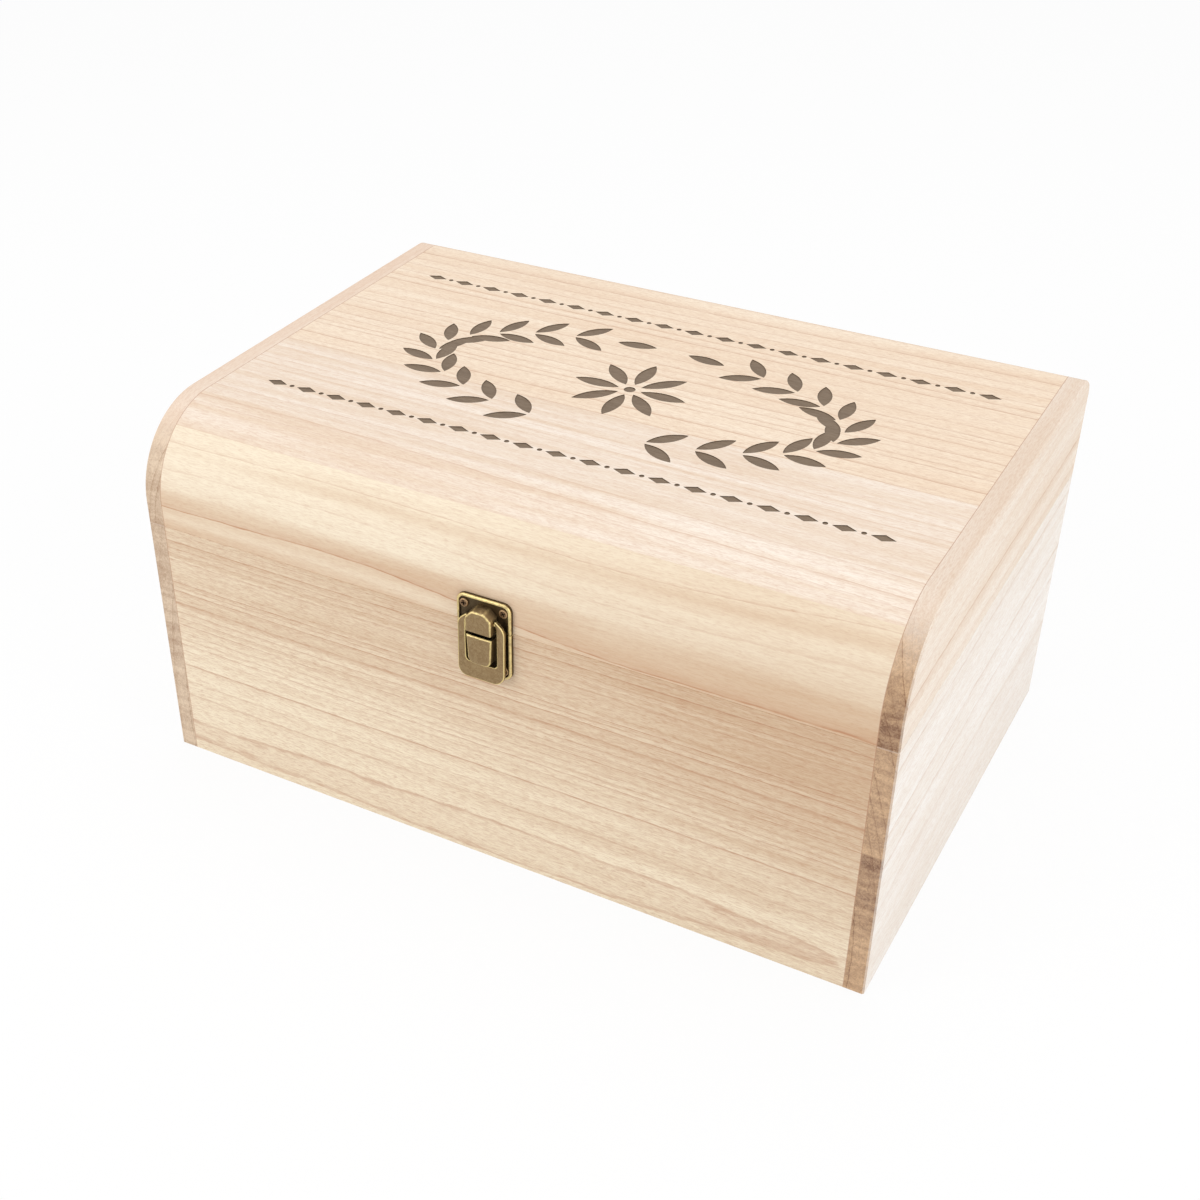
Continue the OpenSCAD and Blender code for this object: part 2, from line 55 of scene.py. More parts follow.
# %% [markdown]
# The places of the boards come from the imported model, so nothing has to be fitted by hand. X runs from
# left to right, -Y is the front and Z is up. The small metal parts are modelled in millimetres, lying
# flat, and `MM` turns millimetres into Blender's metres when they are put in place.

# %% Sizes read from the model
MM = 0.001
panel_low, panel_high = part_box("base_right_end")
half_width = panel_high.x
panel_face = panel_low.x
front_y = panel_low.y
back_y = panel_high.y
parting_z = panel_high.z
top_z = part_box("lid_top_board")[1].z
print(f"box {2 * half_width:.3f} m wide, {back_y - front_y:.3f} m deep, {top_z:.3f} m high")
print(f"the lid parts from the base at {parting_z:.3f} m")

# %% [markdown]
# The camera looks down on the front and the right side of the box, from about a metre away with a normal
# lens. The photograph is cropped a little off its lens's axis, which a small shift of the lens repeats.

# %% Camera
PHOTO_SIZE = 1200
SENSOR = 36
EYE = Vector((0.3418, -0.7029, 0.5842))
LOOKS_ALONG = Vector((-0.4062, 0.7092, -0.5763))
ROLL = math.radians(-0.63)
FOCAL_PIXELS = 1710.6
AXIS_PIXEL = (520, 667)

lens = bpy.data.cameras.new("camera")
lens.sensor_width = SENSOR
lens.lens = FOCAL_PIXELS * SENSOR / PHOTO_SIZE
lens.shift_x = (PHOTO_SIZE / 2 - AXIS_PIXEL[0]) / PHOTO_SIZE
lens.shift_y = (AXIS_PIXEL[1] - PHOTO_SIZE / 2) / PHOTO_SIZE
camera = bpy.data.objects.new("camera", lens)
bpy.context.scene.collection.objects.link(camera)
level = LOOKS_ALONG.to_track_quat("-Z", "Y").to_matrix().to_4x4()
camera.matrix_world = Matrix.Translation(EYE) @ level @ Matrix.Rotation(ROLL, 4, "Z")
bpy.context.scene.camera = camera
bpy.context.scene.view_settings.view_transform = "Standard"
print(f"lens {lens.lens:.1f} mm, shifted by {lens.shift_x:.3f} and {lens.shift_y:.3f}")

# %% [markdown]
# Shader nodes are built from code by one small helper. It adds a node, sets what is given as a value and
# links what is given as the output of another node. Colours are given from 0 to 255, and a second
# helper turns them into the linear values that shaders work with.

# %% Helpers: nodes and colours


def add(tree, kind, inputs=None, **settings):
    """A new shader node: its settings made, and its inputs set to values or linked to outputs."""
    node = tree.nodes.new("ShaderNode" + kind)
    for name, value in settings.items():
        setattr(node, name, value)
    for name, value in (inputs or {}).items():
        if isinstance(value, bpy.types.NodeSocket):
            tree.links.new(value, node.inputs[name])
        else:
            node.inputs[name].default_value = value
    return node


def colour(red, green, blue):
    """A colour from 0 to 255 in linear values."""
    def linear(level):
        level = level / 255
        return level / 12.92 if level <= 0.04045 else ((level + 0.055) / 1.055) ** 2.4
    return (linear(red), linear(green), linear(blue), 1)


print("a middle grey of 128 is", round(colour(128, 128, 128)[0], 3), "in linear values")

# %% [markdown]
# A finish is made of sums, of smooth ranges and of mixes of two colours, so each has a short helper. A
# smooth range turns a noise, a height or an angle into a mask with soft edges.

# %% Helpers: sums, ranges and mixes


def sum_of(tree, operation, *values, clamp=False):
    """The result of one Math node."""
    return add(tree, "Math", dict(enumerate(values)), operation=operation, use_clamp=clamp).outputs[0]


def plus(tree, first, *others):
    """The values added up."""
    for other in others:
        first = sum_of(tree, "ADD", first, other)
    return first


def less(tree, first, second):
    """The first value less the second."""
    return sum_of(tree, "SUBTRACT", first, second)


def times(tree, first, second):
    """The product of two values."""
    return sum_of(tree, "MULTIPLY", first, second)


def ramp(tree, value, low, high, to_low=0.0, to_high=1.0):
    """The value's range from low to high, stretched smoothly over another range."""
    inputs = {0: value, 1: low, 2: high, 3: to_low, 4: to_high}
    return add(tree, "MapRange", inputs, interpolation_type="SMOOTHSTEP").outputs[0]


def mixed(tree, share, first, second):
    """First colour to second by the share."""
    return add(tree, "Mix", {0: share, 6: first, 7: second}, data_type="RGBA").outputs[2]


print("helpers for sums, ranges and mixes are ready")

# %% [markdown]
# The box stands on a plain white floor that runs back without an end. Real white paper under even studio
# light photographs as pure white with only a faint shadow, so the floor gives the camera most of its
# white as light of its own and shows the shadow in the rest. The metal mirrors that same white, so the
# floor and the surroundings look the same to rays that glance off it.

# %% Floor and surroundings
FLOOR_SIZE = 60
FLOOR_PAPER = (0.9, 0.9, 0.9, 1)
FLOOR_OWN_WHITE = 0.9
WORLD_LIGHT = 0.7
WHITE = (1, 1, 1, 1)


def empty_tree(owner):
    """The emptied node tree of a material or a world."""
    owner.use_nodes = True
    owner.node_tree.nodes.clear()
    return owner.node_tree


def looked_at(tree):
    """1 for the rays of the camera and for those that a mirror or glass sends on, else 0."""
    path = add(tree, "LightPath").outputs
    mirrored = sum_of(tree, "MAXIMUM", path["Is Glossy Ray"], path["Is Transmission Ray"])
    return sum_of(tree, "MAXIMUM", path["Is Camera Ray"], mirrored)


bpy.ops.object.select_all(action="DESELECT")
bpy.ops.mesh.primitive_plane_add(size=FLOOR_SIZE, location=(0, 0, 0))
floor = bpy.context.object
floor.name = "floor"
paper = bpy.data.materials.new("white_paper")
floor.data.materials.append(paper)
tree = empty_tree(paper)
dull = add(tree, "BsdfDiffuse", {"Color": FLOOR_PAPER}).outputs[0]
own = add(tree, "Emission", {"Color": WHITE, "Strength": 1.0}).outputs[0]
look = add(tree, "MixShader", {0: times(tree, looked_at(tree), FLOOR_OWN_WHITE), 1: dull, 2: own})
add(tree, "OutputMaterial", {"Surface": look.outputs[0]})

world = bpy.data.worlds.new("pale_room")
bpy.context.scene.world = world
tree = empty_tree(world)
bright = sum_of(tree, "MAXIMUM", looked_at(tree), WORLD_LIGHT)
room = add(tree, "Background", {"Color": WHITE, "Strength": bright})
add(tree, "OutputWorld", {"Surface": room.outputs[0]})
print("a floor", FLOOR_SIZE, "m across, and pale surroundings")

# %% [markdown]
# Three large soft lamps and the pale surroundings light the wood at about the level at which a colour
# looks as it is written. Each lamp is a square panel that faces the middle of the box.

# %% Lamps
LAMPS = {
    "lamp_right": dict(place=(1.6, -0.2, 0.9), size=1.2, watts=9.1),
    "lamp_above": dict(place=(-0.2, 0.3, 1.7), size=1.4, watts=6.5),
    "lamp_left": dict(place=(-1.1, -1.5, 0.9), size=1.2, watts=11.3),
}


def soft_lamp(name, place, size, watts):
    """A square lamp that faces the middle of the box."""
    lamp = bpy.data.lights.new(name, "AREA")
    lamp.size = size
    lamp.energy = watts
    holder = bpy.data.objects.new(name, lamp)
    bpy.context.scene.collection.objects.link(holder)
    aim = Vector((0, 0, top_z / 2)) - Vector(place)
    holder.matrix_world = Matrix.Translation(place) @ aim.to_track_quat("-Z", "Y").to_matrix().to_4x4()


for name, settings in LAMPS.items():
    soft_lamp(name, **settings)
print(len(bpy.data.lights), "lamps")

# %% [markdown]
# An effect that several finishes share is a node group: it is built once, and each finish places it with
# values of its own. This helper makes an empty group with its sockets.

# %% Helper: an empty node group


def new_group(name, inputs, outputs):
    """An empty group: an input without a value is a vector, and all other sockets are numbers."""
    group = bpy.data.node_groups.new(name, "ShaderNodeTree")
    for label, value in inputs.items():
        kind = "NodeSocketVector" if value is None else "NodeSocketFloat"
        socket = group.interface.new_socket(label, in_out="INPUT", socket_type=kind)
        if value is not None:
            socket.default_value = value
    for label in outputs:
        group.interface.new_socket(label, in_out="OUTPUT", socket_type="NodeSocketFloat")
    given = group.nodes.new("NodeGroupInput").outputs
    return group, given, group.nodes.new("NodeGroupOutput").inputs


def sockets_out(group):
    """The names of a group's outputs."""
    return [socket.name for socket in group.interface.items_tree if socket.in_out == "OUTPUT"]


print("node groups so far:", len(bpy.data.node_groups))

# %% [markdown]
# Wood shows its growth: each year adds a ring round the pith, and a board cuts through those rings. Where
# the rings stand square to a face they show as close parallel lines, and where they lie nearly flat they
# open into wide arches. So the grain isn't painted on each face. The group works out how far every point
# of a board lies from its pith, in real millimetres, and the lines then meet round every corner, with
# arcs on the cut ends, as they do in a sawn board.
#
# No trunk is a true cylinder. Slow noise makes the rings wander, fine noise makes them ragged, and good
# and bad seasons make some rings wider than others. Each noise is written as its waves in a metre, along
# and across the grain, then its detail, its roughness, and a shift that keeps it apart from the others.

# %% Grown wood: the rings
WAVES = {
    "wander": (2.5, 7, 1.0, 0.5, 0.0),
    "ragged": (45, 260, 2.0, 0.5, 3.1),
    "broken": (60, 500, 3.0, 0.65, 7.7),
    "streaks": (4.5, 150, 4.0, 0.62, 11.3),
    "fibres": (230, 1900, 3.0, 0.65, 17.9),
    "pores": (420, 2600, 1.0, 0.5, 23.3),
}
RAGGED = 1.1 * MM
SEASON_SPREAD = 16 * MM
SEASONS_PER_METRE = 55.0


def grain_noise(group, given, name):
    """One of the noises that are stretched along the grain."""
    along, across, detail, roughness, shift = WAVES[name]
    scale = (along, across, across)
    stretched = add(group, "VectorMath", {0: given["Place"], 1: scale}, operation="MULTIPLY").outputs[0]
    inputs = {"Vector": stretched, "W": plus(group, given["Seed"], shift), "Scale": 1.0,
              "Detail": detail, "Roughness": roughness}
    return add(group, "TexNoise", inputs, noise_dimensions="4D").outputs["Fac"]


def line_noise(group, value):
    """Noise along one number, with about a wave for each whole step of it."""
    inputs = {"W": value, "Scale": 1.0, "Detail": 1.0}
    return add(group, "TexNoise", inputs, noise_dimensions="1D").outputs["Fac"]


def centred(tree, value, size):
    """Noise from 0 to 1 that is made to swing evenly about 0, over the size."""
    return times(tree, less(tree, value, 0.5), size)


def pith_distance(group, given):
    """How far a point lies from the pith, which leans and whose rings wander."""
    place = add(group, "SeparateXYZ", {0: given["Place"]}).outputs
    off_y = less(group, place[1], given["Pith Y"])
    off_z = plus(group, less(group, place[2], given["Pith Z"]), times(group, given["Lean"], place[0]))
    square = plus(group, times(group, off_y, off_y), times(group, off_z, off_z))
    slow = centred(group, grain_noise(group, given, "wander"), given["Wander"])
    ragged = centred(group, grain_noise(group, given, "ragged"), RAGGED)
    return plus(group, sum_of(group, "SQRT", square), plus(group, slow, ragged))


def year_count(group, given, distance):
    """The number of rings up to a point, when some are wider than others."""
    course = sum_of(group, "MULTIPLY_ADD", distance, SEASONS_PER_METRE, given["Seed"])
    uneven = plus(group, distance, centred(group, line_noise(group, course), SEASON_SPREAD))
    return sum_of(group, "DIVIDE", uneven, given["Ring Width"])


print(f"rings are ragged by {RAGGED / MM:.1f} mm, and seasons shift them within {SEASON_SPREAD / MM:.0f} mm")

# %% [markdown]
# A ring ends in dense late wood. That is the dark line: a soft shade that leads up to a thin sharp line,
# and a quick fade where the next spring's pale wood starts. Some lines are strong and some hardly show,
# and fine noise breaks them up.

# %% Grown wood: the dark line of each ring
LINE_WIDTH = 0.62 * MM
SHADE_WIDTH = 2.8 * MM
SHADE_DEPTH = 0.27


def ring_lines(group, given, years):
    """A mask of the dark edges of the rings."""
    within = less(group, years, sum_of(group, "FLOOR", years))
    to_edge = times(group, less(group, 1.0, within), given["Ring Width"])
    past_edge = times(group, within, given["Ring Width"])
    late = ramp(group, to_edge, 0, LINE_WIDTH, 1, 0)
    shade = ramp(group, to_edge, 0, SHADE_WIDTH, SHADE_DEPTH, 0)
    early = ramp(group, past_edge, 0, LINE_WIDTH / 3, 1, 0)
    edge = sum_of(group, "MAXIMUM", sum_of(group, "MAXIMUM", late, shade), early)
    own_number = plus(group, sum_of(group, "ROUND", years), given["Seed"])
    chance = add(group, "TexWhiteNoise", {"W": own_number}, noise_dimensions="1D").outputs["Value"]
    strength = ramp(group, chance, 0.0, 0.9, 0.3, 1.0)
    broken = ramp(group, grain_noise(group, given, "broken"), 0.3, 0.62, 0.5, 1.0)
    return times(group, times(group, edge, strength), broken)


print(f"lines {LINE_WIDTH / MM:.2f} mm wide, with a shade of {SHADE_WIDTH / MM:.1f} mm before them")

# %% [markdown]
# The group puts out five masks. Lines are the dark edges of the rings, Rings a tone for each ring,
# Streaks the long soft bands, Fibres the fine streaks that sanding leaves and Pores the short dark dashes
# of the open cells.

# %% Node group: grown wood


def build_grown_wood():
    """A node group that gives the masks of a wood whose grain runs along the X of Place."""
    inputs = {"Place": None, "Pith Y": 0.1, "Pith Z": -0.1, "Lean": 0.0, "Ring Width": 0.005,
              "Wander": 0.004, "Seed": 0.0}
    group, given, out = new_group("grown_wood", inputs, ["Lines", "Rings", "Streaks", "Fibres", "Pores"])
    years = year_count(group, given, pith_distance(group, given))
    masks = {
        "Lines": ring_lines(group, given, years),
        "Rings": line_noise(group, sum_of(group, "MULTIPLY_ADD", years, 0.8, given["Seed"])),
        "Streaks": grain_noise(group, given, "streaks"),
        "Fibres": grain_noise(group, given, "fibres"),
        "Pores": ramp(group, grain_noise(group, given, "pores"), 0.56, 0.72),
    }
    for label, mask in masks.items():
        group.links.new(mask, out[label])
    return group


grown_wood = build_grown_wood()
print("masks:", sockets_out(grown_wood))

# %% [markdown]
# Each board is another piece of wood, so each gets its own finish from the one group: where its pith lay,
# how wide its rings are, and its own pale, deep and line colours. `BOARD` holds what is usual, and each
# board changes what differs. A board may grow darker to the right, and paler from one height to another:
# partly its own tone, and partly painted shade to the right and painted light by height.

# %% Finish: the long faces of a board
BOARD = dict(lean=0.0, wander=0.004, grain="X", darker_right_tone_and_shade=0.0, paler_tone_and_light=(0, 1, 0.0), line_share=0.85,
             streak_share=0.5, ring_share=0.22, fine_share=1.0)
FIBRE_SHARE = 0.31
PORE_SHARE = 0.3
CLOUD_SHARE = 0.28
CLOUD_WAVES = (5, 16, 16)


def board_masks(tree, place, board):
    """The masks of one board's wood, with its own pith, rings and seed."""
    inputs = {"Place": place, "Pith Y": board["pith"][0], "Pith Z": board["pith"][1], "Seed": board["seed"],
              "Lean": board["lean"], "Ring Width": board["ring"], "Wander": board["wander"]}
    return add(tree, "Group", inputs, node_tree=grown_wood).outputs


def soft_clouds(tree, place, seed):
    """Broad soft patches of tone, stretched along the grain."""
    stretched = add(tree, "Mapping", {"Vector": place, "Scale": CLOUD_WAVES}).outputs[0]
    inputs = {"Vector": stretched, "W": seed, "Scale": 1.0, "Detail": 2.0}
    return add(tree, "TexNoise", inputs, noise_dimensions="4D").outputs["Fac"]


def face_colour(tree, masks, spot, place, tones, board):
    """The colour of a board's long faces: pale to deep by its tone and by painted light and shade, then
    lines, fibres and pores.
    """
    pale, deep, line = tones
    low, high, fade = board["paler_tone_and_light"]
    clouds = ramp(tree, soft_clouds(tree, place, board["seed"]), 0.3, 0.7, 0.0, CLOUD_SHARE)
    depth = times(tree, ramp(tree, masks["Streaks"], 0.32, 0.7), board["streak_share"])
    depth = plus(tree, depth, ramp(tree, masks["Rings"], 0.3, 0.7, 0.0, board["ring_share"]))
    depth = sum_of(tree, "ADD", depth, clouds, clamp=True)
    # Darker to the right and paler by height: partly the board's own tone, partly painted shade and painted
    # light.
    depth = plus(tree, depth, ramp(tree, spot[0], -half_width, half_width, 0, board["darker_right_tone_and_shade"]))
    depth = sum_of(tree, "SUBTRACT", depth, ramp(tree, spot[2], low, high, 0, fade), clamp=True)
    body = mixed(tree, depth, pale, deep)
    share = board["line_share"]
    lined = ramp(tree, spot[2], low, high, share, share * (1 - 0.85 * fade))
    body = mixed(tree, times(tree, masks["Lines"], lined), body, line)
    fibres = ramp(tree, masks["Fibres"], 0.38, 0.66, 0, FIBRE_SHARE * board["fine_share"])
    pores = times(tree, masks["Pores"], PORE_SHARE * board["fine_share"])
    return mixed(tree, pores, mixed(tree, fibres, body, line), line)


print("usual settings of a board:", len(BOARD))

# %% [markdown]
# The end panels' grain runs from front to back, so they show cut ends on their narrow front and back
# faces. Cut ends drink up light and sanding dust and look darker and browner, with a wavy texture of open
# cells. Each panel is glued up from a few staves, and each stave's end has a tone of its own. A stave is
# written as the height where it starts, how softly its tone sets in, and the tone.
#
# Where the long boards meet the end panels, two thin brown lines show the joint.

# %% Finish: cut ends and joints
CELL_WAVES = 520.0
BAND_WAVES = (90, 30, 260)
LEFT_ENDS = (colour(220, 197, 170), colour(146, 108, 77))
RIGHT_ENDS = (colour(213, 175, 134), colour(112, 68, 34))
CUT_SHARE = 0.92
TOP_EDGE_SHARE = 0.24
SEAM = 0.45 * MM
SEAM_SHARE = 0.8
SEAM_BROWN = colour(176, 128, 100)


def stepped(tree, value, steps):
    """A number that changes at each step: a step is a place, its softness and the number past it."""
    total, before = 0.0, 0.0
    for place, softness, number in steps:
        rise = ramp(tree, value, place - softness, place + softness, 0, number - before)
        total = plus(tree, total, rise)
        before = number
    return total


def cut_end_colour(tree, place, height, lines, board):
    """The colour of a panel's cut ends, from its staves, its cells and its ring lines."""
    inputs = {"Vector": place, "Scale": CELL_WAVES, "Detail": 3.0, "Roughness": 0.7, "Distortion": 1.5}
    cells = add(tree, "TexNoise", inputs).outputs["Fac"]
    stretched = add(tree, "Mapping", {"Vector": place, "Scale": BAND_WAVES}).outputs[0]
    bands = add(tree, "TexNoise", {"Vector": stretched, "Scale": 1.0, "Detail": 2.0}).outputs["Fac"]
    shade = plus(tree, stepped(tree, height, board["staves"]), ramp(tree, cells, 0.32, 0.68, -0.2, 0.2))
    shade = plus(tree, shade, ramp(tree, bands, 0.32, 0.68, -0.14, 0.16))
    shade = sum_of(tree, "MULTIPLY_ADD", lines, 0.5, shade, clamp=True)
    return mixed(tree, shade, *board["ends"])


def panel_edges(tree, here, place, height, lines, body, line, board):
    """An end panel's colour with its browner top edge and its cut ends."""
    facing = add(tree, "SeparateXYZ", {0: here["Normal"]}).outputs
    body = mixed(tree, ramp(tree, facing[2], 0.5, 1, 0, TOP_EDGE_SHARE), body, line)
    cut = ramp(tree, sum_of(tree, "ABSOLUTE", facing[1]), 0.35, 0.95, 0, CUT_SHARE)
    return mixed(tree, cut, body, cut_end_colour(tree, place, height, lines, board))


def board_joints(tree, across, body):
    """A long board's colour with the brown lines where it meets the end panels."""
    off_middle = sum_of(tree, "ABSOLUTE", across)
    seam = ramp(tree, off_middle, panel_face - SEAM, panel_face - 0.3 * SEAM, 0, SEAM_SHARE)
    return mixed(tree, seam, body, SEAM_BROWN)


print(f"joint lines {SEAM / MM:.2f} mm wide")

# %% [markdown]
# A finish puts these together. Sanded wood isn't glossy, but its fibres catch a little light, and its
# dense ring lines lie a touch lower than the wood beside them, so both give it a very slight relief.

# %% Finish: pale bare wood
SHEEN_LEVEL = 0.35
RELIEF = 0.08 * MM
GRAIN_TURN = (0, 0, math.radians(-90))


def wood(name, **settings):
    """A bare sanded wood, returned with its masks, its colour and its shader."""
    board = BOARD | settings
    tones = [colour(*tone) for tone in board["tones"]]
    finish = bpy.data.materials.new(name)
    tree = empty_tree(finish)
    here = add(tree, "TexCoord").outputs
    place = here["Object"]
    spot = add(tree, "SeparateXYZ", {0: place}).outputs
    if board["grain"] == "Y":
        place = add(tree, "Mapping", {"Vector": place, "Rotation": GRAIN_TURN}).outputs[0]
    masks = board_masks(tree, place, board)
    body = face_colour(tree, masks, spot, place, tones, board)
    if board["grain"] == "Y":
        body = panel_edges(tree, here, place, spot[2], masks["Lines"], body, tones[2], board)
    else:
        body = board_joints(tree, spot[0], body)
    height = plus(tree, times(tree, masks["Fibres"], 0.5), times(tree, masks["Lines"], -0.6))
    relief = add(tree, "Bump", {"Height": height, "Strength": 0.5, "Distance": RELIEF}).outputs[0]
    roughness = ramp(tree, masks["Fibres"], 0.3, 0.7, 0.52, 0.68)
    shader = add(tree, "BsdfPrincipled", {"Base Color": body, "Roughness": roughness, "Normal": relief,
                                          "Specular IOR Level": SHEEN_LEVEL})
    add(tree, "OutputMaterial", {"Surface": shader.outputs[0]})
    return finish, masks, body, shader


print(f"relief of the sanded wood up to {RELIEF / MM:.2f} mm")

# %% [markdown]
# The front board of the base is cut with its rings nearly square to its face, so its lines are close and
# straight. The curved board of the lid is cut near its pith, which gives broad arches. The end panels
# are the palest, partly in their own tone and partly as painted light for their brightly lit outer faces.
# Places and ring widths are in metres, and a board's tones are its pale, its deep and its line colour.

# %% Colours and cuts of the boards
BACK_TONES = ((243, 227, 203), (222, 194, 164), (190, 148, 118))
# The front boards grow darker to the right as painted shade and paler by height as painted light, on top of
# their own tone.
LONG_BOARDS = {
    "base_front_board": dict(
        pith=(front_y + 0.056, 0.013), ring=0.0041, seed=1.3, wander=0.007, darker_right_tone_and_shade=0.55,
        paler_tone_and_light=(parting_z, 0, 0.68), line_share=1.0, streak_share=0.34,
        tones=((242, 228, 202), (209, 182, 151), (172, 112, 76))),
    "base_back_board": dict(
        pith=(back_y - 0.05, 0.03), ring=0.0065, seed=2.9, wander=0.007, tones=BACK_TONES),
    "base_bottom_panel": dict(
        pith=(0.3, -0.2), ring=0.008, seed=4.1, wander=0.012, line_share=0.6,
        tones=((236, 216, 184), (210, 180, 144), (178, 138, 104))),
    "lid_front_board": dict(
        pith=(front_y + 0.066, parting_z + 0.040), ring=0.0105, seed=5.35, lean=0.055, wander=0.022,
        darker_right_tone_and_shade=0.26, paler_tone_and_light=(parting_z + 0.01, top_z - 0.025, 0.6), streak_share=0.33,
        ring_share=0.46, fine_share=0.55, tones=((241, 227, 203), (210, 179, 147), (184, 128, 92))),
    "lid_top_strip": dict(
        pith=(front_y - 0.03, top_z - 0.10), ring=0.0062, seed=6.6, lean=0.03, wander=0.014,
        streak_share=0.75, line_share=0.6, tones=((247, 237, 225), (231, 211, 189), (202, 160, 130))),
    "lid_top_board": dict(
        pith=(back_y + 0.12, top_z - 0.16), ring=0.0065, seed=7.9, wander=0.007, streak_share=0.35,
        line_share=1.0, tones=((247, 232, 211), (233, 208, 181), (192, 148, 118))),
    "lid_back_board": dict(
        pith=(back_y - 0.05, 0.13), ring=0.0065, seed=8.8, wander=0.007, tones=BACK_TONES),
}
# The end panels' pale tones are partly their own and partly painted light on their outer faces.
END_PANELS = {
    "base_left_end": dict(
        pith=(-0.245, 0.02), ring=0.0062, seed=10.2, ends=LEFT_ENDS,
        staves=((-1, 0.1, 0.18), (0.030, 0.008, 0.3), (0.060, 0.0006, 0.46), (0.082, 0.0006, 0.34)),
        tones=((250, 244, 236), (236, 220, 202), (200, 168, 144))),
    "base_right_end": dict(
        pith=(0.135, 0.015), ring=0.0062, seed=11.7, ends=RIGHT_ENDS, line_share=0.6,
        staves=((-1, 0.1, 0.24), (0.040, 0.03, 0.56), (0.076, 0.004, 0.76), (0.083, 0.0006, 0.36)),
        tones=((248, 246, 243), (234, 224, 212), (204, 176, 154))),
    "lid_left_end": dict(
        pith=(-0.26, 0.06), ring=0.0055, seed=12.4, ends=LEFT_ENDS,
        staves=((-1, 0.1, 0.36), (0.165, 0.012, 0.2)),
        tones=((246, 234, 218), (234, 210, 188), (204, 166, 140))),
    "lid_right_end": dict(
        pith=(0.12, 0.05), ring=0.0050, seed=13.9, ends=RIGHT_ENDS,
        staves=((-1, 0.1, 0.7), (0.163, 0.012, 0.36)),
        tones=((244, 237, 227), (229, 210, 189), (202, 164, 134))),
}
print(len(LONG_BOARDS), "long boards and", len(END_PANELS), "end panels")

# %% [markdown]
# The boards keep the meshes that they were packed with, because those already have the real sizes. Each
# only gets its finish, in the stead of the plain colour that it came with.

# %% Give the boards their wood
made_woods = {}
for node, settings in LONG_BOARDS.items():
    made_woods[node] = wood("wood_" + node, **settings)
for node, settings in END_PANELS.items():
    made_woods[node] = wood("wood_" + node, grain="Y", **settings)
for node, made in made_woods.items():
    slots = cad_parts[node].data.materials
    slots.clear()
    slots.append(made[0])
print(len(made_woods), "boards have their wood")

# %% [markdown]
# The design on the lid is burnt into the wood by a laser, about half a millimetre deep. The pockets are
# real hollows in the two top boards, so the burnt wood is found by its depth: what lies just below the
# top face, between the two edges of the design, is scorched to a grey brown that still shows the grain,
# and the upright walls of the pockets get a darker brown, painted shade that makes the shallow hollows show.

# %% Finish: the burnt design
BURNT = colour(127, 108, 88)
BURNT_GRAIN = colour(104, 86, 68)
POCKET_WALL_SHADE = colour(66, 51, 38)
POCKET_STARTS = 0.1 * MM
POCKET_ENDS = 2 * MM
DESIGN_FRONT = front_y + 0.055
DESIGN_BACK = back_y - 0.035


def between(tree, value, low, high):
    """1 where the value lies between low and high, and 0 elsewhere."""
    return times(tree, sum_of(tree, "GREATER_THAN", value, low), sum_of(tree, "LESS_THAN", value, high))


def burn_design(finish, masks, body, shader):
    """Scorches the pockets of the design in a board's finish and paints shade on their upright walls."""
    tree = finish.node_tree
    here = add(tree, "TexCoord").outputs
    spot = add(tree, "SeparateXYZ", {0: here["Object"]}).outputs
    facing = add(tree, "SeparateXYZ", {0: here["Normal"]}).outputs[2]
    deep = between(tree, spot[2], top_z - POCKET_ENDS, top_z - POCKET_STARTS)
    scorched = times(tree, deep, between(tree, spot[1], DESIGN_FRONT, DESIGN_BACK))
    upright = less(tree, 1.0, sum_of(tree, "ABSOLUTE", facing))
    grain = plus(tree, ramp(tree, masks["Streaks"], 0.35, 0.7, 0, 0.5),
                 ramp(tree, masks["Fibres"], 0.35, 0.7, 0, 0.5))
    # The upright walls get painted shade, darker than the scorched floor.
    char_and_wall_shade = mixed(tree, upright, mixed(tree, grain, BURNT, BURNT_GRAIN), POCKET_WALL_SHADE)
    tree.links.new(mixed(tree, scorched, body, char_and_wall_shade), shader.inputs["Base Color"])


for node in ("lid_top_strip", "lid_top_board"):
    burn_design(*made_woods[node])
print("burnt design between y =", round(DESIGN_FRONT, 4), "and", round(DESIGN_BACK, 4))

# %% [markdown]
# The catch is pressed from brass sheet and plated to look old: a dull olive brown on its faces, dark in its
# hollows as dirt and painted shade, and bright along its edges as rubbed wear and painted highlight. Paint
# can't know where a shape's edges are, so a helper further on marks them on the mesh, and the finish reads
# that mark. The group turns the mark into masks: for the worn edges with their painted highlight, in
# patches, for the dirt and painted shade in the hollows, and Mottle for the cloudy plating.

# %% Node group: worn edges with painted highlight, dirt with painted shade
PATCH_WAVES = 0.22
WEAR_AND_HIGHLIGHT_PATCHES = 0.8
DIRT_AND_SHADE_PATCHES = 0.6


